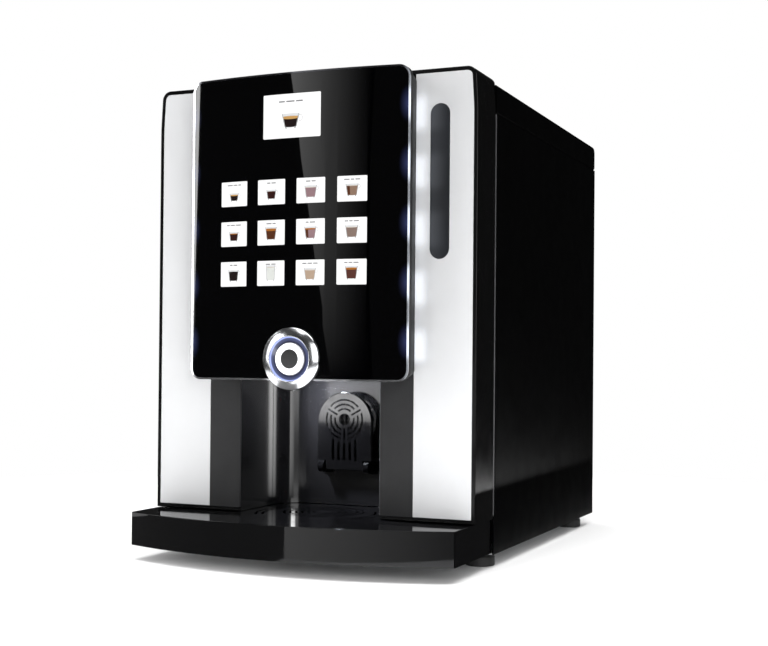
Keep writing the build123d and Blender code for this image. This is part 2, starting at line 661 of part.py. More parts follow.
def drip_grille():
    """Grille plate with rings of curved slots under the spouts, and outer arcs."""
    z0 = BASE_TOP_Z - GRILLE_THICKNESS
    plate = column(tray_plan(TRAY_GAP), z0, BASE_TOP_Z)
    height = GRILLE_THICKNESS + 2 * EXTRA
    for radius in GRILLE_RING_RADII:
        bridge = degrees(atan2(GRILLE_BRIDGE, radius))
        for start in THIRDS_DEG:
            plate -= arc_slot(radius, GRILLE_SLOT, start + bridge / 2, 120 - bridge, height,
                              (0, SPOUT_Y), z0 - EXTRA)
    for radius in OUTER_ARC_RADII:
        for start in OUTER_ARC_STARTS_DEG:
            plate -= arc_slot(radius, GRILLE_SLOT, start, OUTER_ARC_SWEEP_DEG, height,
                              (0, SPOUT_Y - OUTER_ARC_SHIFT), z0 - EXTRA)
    plate -= rod_z(FLOAT_RADIUS + FLOAT_PLAY, z0 - EXTRA, BASE_TOP_Z + EXTRA, *FLOAT_AT)
    return plate


def tray_float():
    """Red float that rises through the grille when the tray is full."""
    z0 = BASE_BOTTOM_Z + BASE_WALL + TRAY_WALL
    body = rod_z(FLOAT_RADIUS, z0, BASE_TOP_Z - FLOAT_SUNK, *FLOAT_AT)
    return fillet(body.edges().group_by(Axis.Z)[-1], FLOAT_ROUND)


# --- door ---------------------------------------------------------------------------
def door_outline(inset):
    """Front view of the door: straight sides that lean in near the rounded top."""
    half = HALF_W - inset
    top = HEIGHT - inset
    bottom = DOOR_BOTTOM_Z + inset
    points = [(-half, bottom), (half, bottom), (half, DOOR_TAPER_Z), (half - DOOR_TAPER_IN, top),
              (-half + DOOR_TAPER_IN, top), (-half, DOOR_TAPER_Z)]
    face = make_face(Polyline(*points, close=True))
    bends = [v for v in face.vertices() if abs(v.Y - DOOR_TAPER_Z) < 1]
    face = fillet(bends, DOOR_TAPER_RADIUS)
    return fillet(face.vertices().group_by(Axis.Y)[-1], DOOR_CORNER_RADIUS - inset)


def door_frame():
    """Moulded door frame: walls, and a front wall with pockets for the panels."""
    front = DOOR_FACE_Y + FRONT_PANEL_DEPTH
    frame = slab(door_outline(0), DOOR_FACE_Y, DOOR_REAR_Y)
    edges = frame.edges().group_by(Axis.Y)[0]
    frame = fillet(edges, DOOR_EDGE)
    frame -= slab(door_outline(DOOR_WALL), DOOR_FACE_Y + DOOR_FRONT_WALL, DOOR_REAR_Y + EXTRA)
    frame -= slab(door_outline(DOOR_RIM), DOOR_FACE_Y - EXTRA, front)
    bay = BAY_HALF_W + BAY_WALL + PANEL_GAP
    frame -= block(-bay, bay, DOOR_FACE_Y - EXTRA, DOOR_REAR_Y + EXTRA, DOOR_BOTTOM_Z - EXTRA,
                   BAY_TOP_Z + BAY_WALL + PANEL_GAP)
    half, low, high = DISPLAY_OPENING
    frame -= block(-half, half, DOOR_FACE_Y - EXTRA, DOOR_FACE_Y + DOOR_FRONT_WALL + EXTRA, low, high)
    frame -= block(NOTCH_X, HALF_W + EXTRA, DOOR_REAR_Y - DOOR_NOTCH_DEPTH, DOOR_REAR_Y + EXTRA,
                   HINGE_Z[0] - EXTRA, HINGE_Z[1] + EXTRA)
    frame -= block(DOOR_RELIEF_X, HALF_W + EXTRA, DOOR_REAR_Y - DOOR_NOTCH_DEPTH, DOOR_REAR_Y + EXTRA,
                   DOOR_BOTTOM_Z - EXTRA, HEIGHT)
    frame -= rod_x(LOCK_BARREL_RADIUS + PANEL_GAP, -HALF_W - EXTRA, -HALF_W + DOOR_WALL + EXTRA,
                   LOCK_Y, LOCK_Z)
    return frame


def light_panel(sign):
    """Pale front panel at one side of the door; the right one has the payment window."""
    panel = slab(door_outline(DOOR_RIM + PANEL_GAP), DOOR_FACE_Y, DOOR_FACE_Y + FRONT_PANEL_DEPTH)
    panel -= block(-HALF_W, PANEL_INNER_X, DOOR_FACE_Y - EXTRA, DOOR_REAR_Y, 0, HEIGHT)
    panel = chamfer(panel.edges().group_by(Axis.Y)[0], PANEL_EDGE)
    if sign < 0:
        return mirror(panel, about=Plane.YZ)
    return panel - slab(window_sketch(0), DOOR_FACE_Y - EXTRA, DOOR_REAR_Y)


def window_sketch(inset):
    z0, z1 = WINDOW_Z
    slot = SlotOverall(z1 - z0 - 2 * inset, WINDOW_WIDTH - 2 * inset)
    return Pos(WINDOW_X, (z0 + z1) / 2) * Rot(0, 0, 90) * slot


def payment_cover():
    """Smoked oval window over the place for a payment reader."""
    cover = slab(window_sketch(PANEL_GAP), DOOR_FACE_Y, DOOR_FACE_Y + FRONT_PANEL_DEPTH)
    return chamfer(cover.edges().group_by(Axis.Y)[0], PANEL_EDGE)


def bay_columns():
    """Dark upright at each side of the cup bay."""
    z0 = DOOR_BOTTOM_Z + DOOR_RIM + PANEL_GAP
    post = block(BAY_HALF_W, PANEL_INNER_X - PANEL_GAP, DOOR_FACE_Y, DOOR_FACE_Y + FRONT_PANEL_DEPTH,
                 z0, BAY_TOP_Z + BAY_WALL)
    inner = post.edges().filter_by(Axis.Z).group_by(Axis.X)[0].sort_by(Axis.Y)[0]
    return mirrored(fillet(inner, COLUMN_EDGE))


def bay_plan(half_w, back_y, radius):
    """Plan of the bay, open towards the user."""
    front = DOOR_FACE_Y + FRONT_PANEL_DEPTH
    plan = Pos(0, (front + back_y) / 2) * Rectangle(2 * half_w, back_y - front)
    return fillet(plan.vertices().group_by(Axis.Y)[-1], radius)


def bay_liner():
    """Glossy liner of the cup bay: side walls, rounded back and ceiling."""
    outer = bay_plan(BAY_HALF_W + BAY_WALL, BAY_BACK_Y + BAY_WALL, BAY_CORNER_RADIUS + BAY_WALL)
    inner = bay_plan(BAY_HALF_W, BAY_BACK_Y, BAY_CORNER_RADIUS)
    liner = column(outer, DOOR_BOTTOM_Z, BAY_TOP_Z + BAY_WALL)
    liner -= column(inner, DOOR_BOTTOM_Z - EXTRA, BAY_TOP_Z)
    liner -= rod_z(SPOUT_STUB_RADIUS + SHAFT_PLAY, BAY_TOP_Z - EXTRA, BAY_TOP_Z + BAY_WALL + EXTRA,
                   0, SPOUT_Y)
    return liner


def coffee_spout():
    """Twin spout under the bay ceiling."""
    half_w, half_d = SPOUT_HALF
    body = block(-half_w, half_w, SPOUT_Y - half_d, SPOUT_Y + half_d, BAY_TOP_Z - SPOUT_DROP, BAY_TOP_Z)
    body = fillet(body.edges().filter_by(Axis.Z), SPOUT_CORNER)
    body = fillet(body.edges().group_by(Axis.Z)[0], SPOUT_EDGE)
    body += rod_z(SPOUT_STUB_RADIUS, BAY_TOP_Z, BAY_TOP_Z + SPOUT_STUB_HEIGHT, 0, SPOUT_Y)
    nozzle = Cone(*NOZZLE_RADII, NOZZLE_LENGTH)
    nozzle_z = BAY_TOP_Z - SPOUT_DROP - NOZZLE_LENGTH / 2 + TUCK
    low, high = NOZZLE_BORE_Z
    for x in (-NOZZLE_X, NOZZLE_X):
        body += Pos(x, SPOUT_Y, nozzle_z) * nozzle
        body -= rod_z(NOZZLE_BORE, BAY_TOP_Z + low, BAY_TOP_Z + high, x, SPOUT_Y)
    return body


def door_inner_cover():
    """Sheet that closes the back of the door around the bay."""
    front = DOOR_REAR_Y - COVER_THICKNESS
    cover = slab(door_outline(DOOR_WALL + PANEL_GAP), front, DOOR_REAR_Y)
    bay = BAY_HALF_W + BAY_WALL + PANEL_GAP
    cover -= block(-bay, bay, front - EXTRA, DOOR_REAR_Y + EXTRA, DOOR_BOTTOM_Z,
                   BAY_TOP_Z + BAY_WALL + PANEL_GAP)
    cover -= block(NOTCH_X, HALF_W, front - EXTRA, DOOR_REAR_Y + EXTRA, HINGE_Z[0] - EXTRA,
                   HINGE_Z[1] + EXTRA)
    cover -= block(LEAF_INNER_X, HALF_W, DOOR_REAR_Y - LEAF_THICKNESS, DOOR_REAR_Y + EXTRA, *HINGE_Z)
    cover -= block(*LOCK_SLOT_X, front - EXTRA, DOOR_REAR_Y + EXTRA, *LOCK_SLOT_Z)
    return cover


# --- display ------------------------------------------------------------------------
def display_sketch(inset):
    z0, z1 = DISPLAY_Z
    shape = RectangleRounded(2 * (DISPLAY_HALF_W - inset), z1 - z0 - 2 * inset,
                             DISPLAY_CORNER_RADIUS - min(inset, BEZEL_WIDTH))
    return Pos(0, (z0 + z1) / 2) * shape


def bow(depth):
    """Solid behind the bowed front surface, `depth` behind the glass front."""
    z0, z1 = DISPLAY_Z
    return rod_z(DISPLAY_BOW_RADIUS - depth, z0 - SKETCH_AHEAD, z1 + SKETCH_AHEAD, 0,
                 DISPLAY_CENTRE_Y + DISPLAY_BOW_RADIUS)


def display_part(sketch, depth_front, depth_back):
    """A layer of the display between two depths behind the bowed front."""
    layer = slab(sketch, DISPLAY_CENTRE_Y - SKETCH_AHEAD, DOOR_FACE_Y)
    return (layer & bow(depth_front)) - bow(depth_back)


def button_hole():
    return rod_y(BUTTON_HOLE_RADIUS, DISPLAY_CENTRE_Y - SKETCH_AHEAD, DOOR_REAR_Y, 0, BUTTON_Z)


def display_bezel():
    """Chrome frame: a thin line around the glass, and the seat behind it."""
    front = DISPLAY_CENTRE_Y - SKETCH_AHEAD
    ring = slab(display_sketch(0), front, BEZEL_BACK_Y) & bow(0)
    ring -= slab(display_sketch(BEZEL_WIDTH), front, BEZEL_BACK_Y + EXTRA)
    pocket = slab(display_sketch(BEZEL_LINE), front, BEZEL_BACK_Y) - bow(GLASS_THICKNESS)
    return ring - pocket - button_hole()


def display_housing():
    """Black housing behind the bezel, narrower towards the door, on two rails."""
    depth = HOUSING_BACK_Y - BEZEL_BACK_Y
    plane = Plane(origin=(0, BEZEL_BACK_Y, 0), x_dir=(1, 0, 0), z_dir=(0, 1, 0))
    z_mid = (DISPLAY_Z[0] + DISPLAY_Z[1]) / 2
    z_span = DISPLAY_Z[1] - DISPLAY_Z[0]
    outer = RectangleRounded(2 * DISPLAY_HALF_W - EXTRA, z_span - EXTRA, DISPLAY_CORNER_RADIUS)
    body = extrude(plane * Pos(0, -z_mid) * outer, amount=depth, taper=HOUSING_TAPER_DEG)
    inside = display_sketch(BEZEL_WIDTH + HOUSING_WALL)
    body -= slab(inside, BEZEL_BACK_Y - EXTRA, HOUSING_BACK_Y - HOUSING_WALL)
    half, low, high = HOUSING_OPENING
    body -= block(-half, half, HOUSING_BACK_Y - HOUSING_WALL - EXTRA, HOUSING_BACK_Y + EXTRA, low, high)
    half = HOUSING_RAIL_HALF_W
    for z0, z1 in HOUSING_RAILS_Z:
        body += block(-half, half, HOUSING_BACK_Y - EXTRA, DOOR_FACE_Y + FRONT_PANEL_DEPTH, z0, z1)
    return body - button_hole()


def key_sketch(inset):
    shapes = Sketch()
    for x in KEY_X:
        for z in KEY_Z:
            key = RectangleRounded(KEY_SIZE[0] - 2 * inset, KEY_SIZE[1] - 2 * inset, KEY_CORNER)
            shapes += Pos(x, z) * key
    return shapes


def screen_sketch(inset):
    size = RectangleRounded(SCREEN_SIZE[0] - 2 * inset, SCREEN_SIZE[1] - 2 * inset, SCREEN_CORNER)
    return Pos(*SCREEN_AT) * size


def display_glass():
    """Bowed black glass with shallow seats for the key windows and the screen."""
    glass = display_part(display_sketch(BEZEL_LINE + PANEL_GAP), 0, GLASS_THICKNESS - PANEL_GAP)
    glass -= display_part(key_sketch(0), -EXTRA, INLAY_DEPTH)
    glass -= slab(screen_sketch(0), DISPLAY_CENTRE_Y - SKETCH_AHEAD, BEZEL_BACK_Y)
    return glass - button_hole()


def drink_keys():
    """Twelve back-lit touch windows."""
    return display_part(key_sketch(KEY_PLAY), 0, INLAY_DEPTH - KEY_SUNK)


def screen_module():
    """Colour screen, its face flush with the glass."""
    panel = display_part(screen_sketch(PANEL_GAP), SCREEN_SUNK, GLASS_THICKNESS)
    wider, taller = SCREEN_BACK_EXTRA
    back = Pos(*SCREEN_AT) * Rectangle(SCREEN_SIZE[0] + wider, SCREEN_SIZE[1] + taller)
    rear_y = DISPLAY_CENTRE_Y + GLASS_THICKNESS + SCREEN_BACK_DEPTH
    return panel + (slab(back, DISPLAY_CENTRE_Y, rear_y) & bow(GLASS_THICKNESS))


# --- start button ---------------------------------------------------------------------
def turned(points, arcs=()):
    """A solid of revolution about the button's axis; points are (radius, y), arcs run on from the last."""
    outline = Polyline(*points, close=not arcs)
    for arc in arcs:
        outline += ThreePointArc(*arc)
    solid = revolve(make_face(outline), Axis.Y)
    return Pos(0, 0, BUTTON_Z) * solid


def button_bezel():
    """Flared chrome bezel around a well, with a pocket for the cap and a sleeve through the glass."""
    well = BUTTON_WELL_RADIUS
    outer = BUTTON_BEZEL_RADIUS
    ring = turned([(outer, BEZEL_RIM_Y), (outer - BEZEL_RIM_IN, BEZEL_REAR_Y), (well, BEZEL_REAR_Y),
                   LIP_ARC[0]], [LIP_ARC, FLANK_ARC, SHOULDER_ARC])
    back = BEZEL_REAR_Y + SLEEVE_DEPTH
    bore = BUTTON_STEM_RADIUS + FIT
    pocket = BUTTON_CAP_RADIUS + BUTTON_PLAY
    core = turned([(bore, CAP_POCKET_Y), (pocket, CAP_POCKET_Y), (pocket, WELL_FLOOR_Y),
                   (well + EXTRA, WELL_FLOOR_Y), (well + EXTRA, BEZEL_REAR_Y), (SLEEVE_RADIUS, BEZEL_REAR_Y),
                   (SLEEVE_RADIUS, back), (bore, back)])
    return ring + core


def button_light_ring():
    """Back-lit ring between the bezel and the button."""
    inner = BUTTON_CAP_RADIUS + BUTTON_PLAY
    outer = BUTTON_WELL_RADIUS - PANEL_GAP
    inner_rise, outer_rise = LIGHT_RING_RISE
    return turned([(inner, WELL_FLOOR_Y), (outer, WELL_FLOOR_Y), (outer, WELL_FLOOR_Y - outer_rise),
                   (inner, WELL_FLOOR_Y - inner_rise)])


def start_button():
    """Push button: a cap with a dark dished centre, on a stem."""
    stem_back = BEZEL_REAR_Y + SLEEVE_DEPTH + WASHER_WIDTH
    cap_r = BUTTON_CAP_RADIUS
    centre_r = BUTTON_CENTRE_RADIUS
    stem_r = BUTTON_STEM_RADIUS
    return turned([(0, CAP_FRONT_Y + CAP_DISH), (centre_r, CAP_FRONT_Y + CAP_DISH),
                   (centre_r + CAP_DISH, CAP_FRONT_Y), (cap_r - CAP_EDGE, CAP_FRONT_Y),
                   (cap_r, CAP_FRONT_Y + CAP_EDGE), (cap_r, CAP_BACK_Y),
                   (stem_r, CAP_BACK_Y), (stem_r, stem_back), (0, stem_back)])


def button_spring():
    """Wave washer under the cap."""
    inner = BUTTON_STEM_RADIUS + EXTRA
    outer = inner + WASHER_WIDTH
    return turned([(inner, CAP_POCKET_Y), (outer, CAP_POCKET_Y), (outer, CAP_POCKET_Y - WASHER_HEIGHT),
                   (inner, CAP_POCKET_Y - WASHER_HEIGHT)])


# --- cup shelf ------------------------------------------------------------------------
def shelf_arch(inset):
    """Front view of the flap: a straight-sided arch."""
    half = SHELF_HALF_W - inset
    bottom = SHELF_BOTTOM_Z + inset
    outline = Polyline((-half, SHELF_ARCH_Z), (-half, bottom), (half, bottom), (half, SHELF_ARCH_Z))
    outline += ThreePointArc((half, SHELF_ARCH_Z), (0, SHELF_ARCH_Z + half), (-half, SHELF_ARCH_Z))
    return make_face(outline)


def rose_sketch(grow):
    """Slots of the flap: broken rings, three radial slots and a hub hole, over five uprights."""
    slots = Sketch()
    for radius in SHELF_ARC_RADII:
        slots += Circle(radius + SHELF_SLOT / 2 + grow) - Circle(radius - SHELF_SLOT / 2 - grow)
    reach = SHELF_SPOKE[1] + 2 * SHELF_SLOT
    for angle in THIRDS_DEG:
        slots -= Rot(0, 0, angle) * Pos(reach / 2, 0) * Rectangle(reach, SHELF_BRIDGE - 2 * grow)
    length = SHELF_SPOKE[1] - SHELF_SPOKE[0]
    for angle in THIRDS_DEG:
        spoke = SlotOverall(length + 2 * grow, SHELF_SLOT + 2 * grow)
        slots += Rot(0, 0, angle) * Pos(sum(SHELF_SPOKE) / 2, 0) * spoke
    slots += Circle(SHELF_HUB_RADIUS + grow)
    slots = Pos(0, SHELF_ROSE_Z) * slots
    for index in range(-2, 3):
        x = index * SHELF_UPRIGHT_PITCH
        top = SHELF_ROSE_Z - sqrt(SHELF_UPRIGHT_REACH ** 2 - x ** 2)
        middle = (top + SHELF_UPRIGHT_BOTTOM_Z) / 2
        upright = SlotOverall(top - SHELF_UPRIGHT_BOTTOM_Z + 2 * grow, SHELF_UPRIGHT_WIDTH + 2 * grow)
        slots += Pos(x, middle) * Rot(0, 0, 90) * upright
    return slots


def cup_shelf():
    """Fold-down flap with a shallow rim, notched below for its brackets, on two trunnions."""
    y0, y1 = SHELF_Y
    flap = slab(shelf_arch(0), y0, y1)
    flap -= slab(shelf_arch(SHELF_RIM), y0 + SHELF_SKIN, y1 + EXTRA)
    flap = fillet(flap.edges().group_by(Axis.Y)[0], SHELF_ROUND)
    flap -= mirrored(block(SHELF_FOOT_HALF_W, SHELF_HALF_W + EXTRA, y0 - EXTRA, y1 + EXTRA,
                           SHELF_BOTTOM_Z - EXTRA, SHELF_NOTCH_Z))
    flap -= slab(rose_sketch(0), y0 - EXTRA, y1 + EXTRA)
    flap -= slab(rose_sketch(SHELF_EDGE), y0 - EXTRA, y0 + SHELF_EDGE)
    pivot_y, pivot_z = SHELF_PIVOT
    pin = rod_x(SHELF_PIN_RADIUS, SHELF_FOOT_HALF_W - SHELF_PIN_TUCK, BRACKET_X[1] - EXTRA, pivot_y, pivot_z)
    return flap + mirrored(pin)


def shelf_brackets():
    """Two knobbed brackets on the bay's back wall that carry the flap."""
    pivot_y, pivot_z = SHELF_PIVOT
    x0, x1 = BRACKET_X
    half = BRACKET_ARM_HALF
    arm = block(x0, x1, pivot_y, BAY_BACK_Y, pivot_z - half, pivot_z + half)
    knob = rod_x(BRACKET_KNOB_RADIUS, x0, x1, pivot_y, pivot_z)
    arm += fillet(knob.edges(), BRACKET_KNOB_ROUND)
    aside, thick, down, up = BRACKET_PAD
    arm += block(x0 - aside, x1 + aside, BAY_BACK_Y - thick, BAY_BACK_Y, pivot_z - down, pivot_z + up)
    arm -= rod_x(SHELF_PIN_RADIUS + FIT, x0 - EXTRA, x1 - TUCK, pivot_y, pivot_z)
    return mirrored(arm)


# --- lock ---------------------------------------------------------------------------
def door_lock():
    """Lock barrel in the left side of the door."""
    barrel = rod_x(LOCK_BARREL_RADIUS, -HALF_W, HOOK_X[0] - KNUCKLE_GAP, LOCK_Y, LOCK_Z)
    return barrel - rod_x(LOCK_PLUG_RADIUS + FIT, -HALF_W - EXTRA, 0, LOCK_Y, LOCK_Z)


def lock_hook():
    """Key plug and hook; at rest the hook is raised clear of the strike pin."""
    arm = block(*HOOK_X, LOCK_Y, STRIKE_Y + HOOK_NOSE, LOCK_Z - HOOK_HALF, LOCK_Z + HOOK_HALF)
    arm -= block(HOOK_X[0] - EXTRA, HOOK_X[1] + EXTRA, STRIKE_Y - HOOK_MOUTH_HALF, STRIKE_Y + HOOK_MOUTH_HALF,
                 LOCK_Z - HOOK_HALF - EXTRA, LOCK_Z + HOOK_MOUTH_TOP)
    arm += rod_x(HOOK_EYE_RADIUS, *HOOK_X, LOCK_Y, LOCK_Z)
    pivot = Axis((0, LOCK_Y, LOCK_Z), (1, 0, 0))
    arm = arm.rotate(pivot, HOOK_REST_DEG)
    plug = rod_x(LOCK_PLUG_RADIUS, -HALF_W, HOOK_X[0], LOCK_Y, LOCK_Z)
    depth, half_w, half_h = KEY_SLOT
    plug -= block(-HALF_W - EXTRA, -HALF_W + depth, LOCK_Y - half_w, LOCK_Y + half_w,
                  LOCK_Z - half_h, LOCK_Z + half_h)
    return arm + plug


# --- water and power -------------------------------------------------------------------
def inlet_valve():
    """Mains water valve with a three-quarter inch male thread at the rear."""
    x, z = VALVE_AT
    half = VALVE_HALF_W
    front, back = VALVE_BODY_Y
    below, above = VALVE_BODY_Z
    body_back = REAR_PANEL_Y - back
    body = block(x - half, x + half, REAR_PANEL_Y - front, body_back, z - below, z + above)
    body += rod_y(VALVE_COLLAR_RADIUS, body_back, REAR_PANEL_Y - TUCK, x, z)
    body += rod_y(VALVE_RADIUS - EXTRA, body_back, VALVE_THREAD_Y, x, z)
    body += rod_y(VALVE_RADIUS, VALVE_THREAD_Y, BACK_Y - EXTRA, x, z)
    coil_radius, coil_top, coil_y = VALVE_COIL
    body += rod_z(coil_radius, z + above, z + coil_top, x, REAR_PANEL_Y - coil_y)
    bore, bore_start = VALVE_BORE
    return body - rod_y(bore, REAR_PANEL_Y - bore_start, BACK_Y, x, z)


def mains_inlet():
    """Three-pin mains inlet with its flange."""
    x, z = MAINS_AT
    width, height = MAINS_SIZE
    small, large = MAINS_CORNERS
    inner = RectangleRounded(width - MAINS_BODY_NARROWER, height, small)
    flange = RectangleRounded(width - EXTRA, height - EXTRA, large)
    socket_w, socket_h, socket_depth = MAINS_SOCKET
    socket = RectangleRounded(socket_w, socket_h, small)
    bottom_y = REAR_PANEL_Y - socket_depth
    body = slab(Pos(x, z) * inner, REAR_PANEL_Y - MAINS_BODY_Y, REAR_PANEL_Y)
    body += slab(Pos(x, z) * flange, REAR_PANEL_Y, REAR_PANEL_Y + MAINS_FLANGE)
    body -= slab(Pos(x, z) * socket, bottom_y, REAR_PANEL_Y + MAINS_FLANGE + EXTRA)
    half_w, half_h = MAINS_PIN
    for dx, dz in MAINS_PINS:
        body += block(x + dx - half_w, x + dx + half_w, bottom_y - EXTRA, REAR_PANEL_Y + EXTRA,
                      z + dz - half_h, z + dz + half_h)
    return body


def boiler():
    """Upright insulated boiler with two ports on top."""
    x, y = BOILER_AT
    z0, z1 = BOILER_Z
    tank = rod_z(BOILER_RADIUS, z0, z1, x, y)
    tank = fillet(tank.edges().filter_by(GeomType.CIRCLE), BOILER_ROUND)
    for dx in (-BOILER_PORT_X, BOILER_PORT_X):
        tank += rod_z(BOILER_PORT_RADIUS, z1 - 2 * EXTRA, z1 + BOILER_PORT_HEIGHT, x + dx, y)
    foot_x, half_w, half_d = BOILER_FOOT
    for dx in (-foot_x, foot_x):
        tank += block(x + dx - half_w, x + dx + half_w, y - half_d, y + half_d, CHASSIS_Z[1], z0 + half_d)
    return tank


def water_pump():
    """Vibration pump lying on the floor pan."""
    x, z = PUMP_AT
    nipple_y, cap_y, front_y, back_y, tail_y = PUMP_Y
    nipple, cap, tail = PUMP_RADII
    half = PUMP_HALF_W
    pump = block(x - half, x + half, front_y, back_y, CHASSIS_Z[1], z + half)
    pump = fillet(pump.edges().filter_by(Axis.Y).group_by(Axis.Z)[-1], PUMP_EDGE)
    pump += rod_y(tail, back_y, tail_y, x, z)
    pump += rod_y(cap, cap_y, front_y, x, z)
    return pump + rod_y(nipple, nipple_y, cap_y, x, z)


def power_supply():
    """Boxed power supply with a ribbed lid."""
    x0, x1 = SUPPLY_X
    y0, y1 = SUPPLY_Y
    margin = SUPPLY_MARGIN
    body = block(x0, x1, y0, y1, CHASSIS_Z[1], SUPPLY_TOP_Z)
    for index in range(SUPPLY_RIBS):
        y = y0 + margin + index * SUPPLY_RIB_PITCH
        body -= block(x0 + margin, x1 - margin, y, y + margin, SUPPLY_TOP_Z - SUPPLY_GROOVE,
                      SUPPLY_TOP_Z + EXTRA)
    return body


def control_board():
    """Main circuit board standing behind the brewer."""
    wall_y = BULKHEAD_Y + SHEET
    y0 = wall_y + BOARD_STANDOFF
    y1 = y0 + BOARD_THICKNESS
    board = block(*BOARD_X, y0, y1, *BOARD_Z)
    for x, z, width, height, depth in BOARD_PARTS:
        board += block(x, x + width, y1, y1 + depth, z, z + height)
    for x in (BOARD_X[0] + BOARD_STANDOFF, BOARD_X[1] - BOARD_STANDOFF):
        for z in (BOARD_Z[0] + BOARD_STANDOFF, BOARD_Z[1] - BOARD_STANDOFF):
            board += rod_y(STANDOFF_RADIUS, wall_y, y0, x, z)
    return board


def hose(points, radius):
    """A water hose along straight runs joined by arcs."""
    path = FilletPolyline(*points, radius=radius)
    start = Plane(origin=path @ 0, z_dir=path % 0)
    return sweep(start * Circle(HOSE_RADIUS), path=path)


def water_hoses():
    """Pump to boiler, valve to pump, boiler to brewer."""
    bx, by = BOILER_AT
    top = BOILER_Z[1] + BOILER_PORT_HEIGHT
    low_rise, high_rise = (top + rise for rise in HOSE_RISES)
    left, right = bx - BOILER_PORT_X, bx + BOILER_PORT_X
    px, pz = PUMP_AT
    vx, vz = VALVE_AT
    valve_y = REAR_PANEL_Y - VALVE_COIL[2]
    hoses = hose([(px, PUMP_Y[-1], pz), (px, 240, pz), (px, 240, low_rise), (right, by, low_rise),
                  (right, by, top)], HOSE_BEND)
    hoses += hose([(vx + VALVE_HALF_W, valve_y, vz), (-58, valve_y, vz), (-58, 118, 30), (-30, 118, 30)],
                  HOSE_BEND)
    hoses += hose([(left, by, top), (left, by, high_rise), (left, 128, high_rise),
                   (100, 128, 330), (100, 70, 330)], HOSE_BEND)
    return hoses


# --- ingredients ------------------------------------------------------------------------
def canister(name):
    """Powder canister with a tunnel for its auger and a downward outlet in front."""
    x = CANISTER_X[name]
    y0, y1 = CANISTER_Y
    z0, z1 = CANISTER_Z
    half = CANISTER_HALF_W
    wall = CANISTER_WALL
    body = block(x - half, x + half, y0, y1, z0, z1)
    body = fillet(body.edges().filter_by(Axis.Z), CANISTER_CORNER)
    inside = block(x - half + wall, x + half - wall, y0 + CANISTER_INSIDE_Y, y1 - wall,
                   AUGER_Z + CANISTER_FLOOR_RISE, z1 + EXTRA)
    inside = fillet(inside.edges().filter_by(Axis.Z), CANISTER_INSIDE_CORNER)
    step_y, step_z = CANISTER_STEP
    body -= block(x - half - EXTRA, x + half + EXTRA, y0 - EXTRA, y0 + step_y, step_z, z1 + EXTRA)
    body -= inside
    body -= rod_y(TUNNEL_RADIUS, y0 + CANISTER_FLOOR_RISE, y1 + EXTRA, x, AUGER_Z)
    bottom = DECK_Z[0] - OUTLET_DROP
    body += block(x - OUTLET_HALF_W, x + OUTLET_HALF_W, y0, y0 + OUTLET_DEPTH, bottom, z0)
    return body - rod_z(OUTLET_BORE, bottom - EXTRA, AUGER_Z, x, y0 + OUTLET_BORE_Y)


def auger(name):
    """Spring-wire auger on a drive hub."""
    x = CANISTER_X[name]
    start_y = CANISTER_Y[0] + AUGER_START
    length = AUGER_PITCH * AUGER_TURNS
    path = Helix(AUGER_PITCH, length, AUGER_COIL_RADIUS, center=(x, start_y, AUGER_Z), direction=(0, 1, 0))
    wire = Plane(origin=path @ 0, z_dir=path % 0) * Circle(AUGER_WIRE_RADIUS)
    coil = sweep(wire, path=path, is_frenet=True)
    hub_y = CANISTER_Y[1] + HUB_OVERHANG
    hub = rod_y(AUGER_COIL_RADIUS + AUGER_HUB_GROW, start_y + length - AUGER_HUB_GROW, hub_y, x, AUGER_Z)
    return coil + hub + rod_y(AUGER_SHAFT_RADIUS, hub_y, hub_y + AUGER_SHAFT_LENGTH, x, AUGER_Z)


def bean_hopper():
    """Open-topped bean hopper with a sloping floor down to its outlet."""
    x0, x1 = HOPPER_X
    y0, y1 = HOPPER_Y
    z0, z1 = HOPPER_Z
    slope_z = z0 + HOPPER_SLOPE
    wall = HOPPER_WALL

    def funnel(inset, low_z, high_z):
        size = Rectangle(x1 - x0 - 2 * inset, y1 - y0 - 2 * inset)
        neck_size = HOPPER_NECK - 2 * inset
        top = Pos((x0 + x1) / 2, (y0 + y1) / 2, high_z) * size
        neck = Pos(*OUTLET_AT, low_z) * Rectangle(neck_size, neck_size)
        return loft([neck, top])

    inside_z = slope_z + 2 * EXTRA
    body = funnel(0, z0, slope_z) + block(x0, x1, y0, y1, slope_z, z1)
    body -= funnel(wall, z0, inside_z)
    body -= block(x0 + wall, x1 - wall, y0 + wall, y1 - wall, inside_z, z1 + EXTRA)
    return body


def hopper_shutter():
    """Slide under the hopper; pulled forward, it closes the outlet."""
    x, y = OUTLET_AT
    z0 = HOPPER_Z[0] - SHUTTER_DROP
    z1 = z0 + SHUTTER_THICKNESS
    half = SHUTTER_HALF_W
    tab = SHUTTER_TAB_HALF_W
    tab_y, lip_y = SHUTTER_TAB
    plate = block(x - half, x + half, y - half, y + SHUTTER_BACK, z0, z1)
    plate -= rod_z(SHUTTER_HOLE, z0 - EXTRA, z1 + EXTRA, x, y)
    plate += block(x - tab, x + tab, y - tab_y, y - half, z0, z1)
    return plate + block(x - tab, x + tab, y - lip_y, y - tab_y, z0 - SHUTTER_LIP, z1)


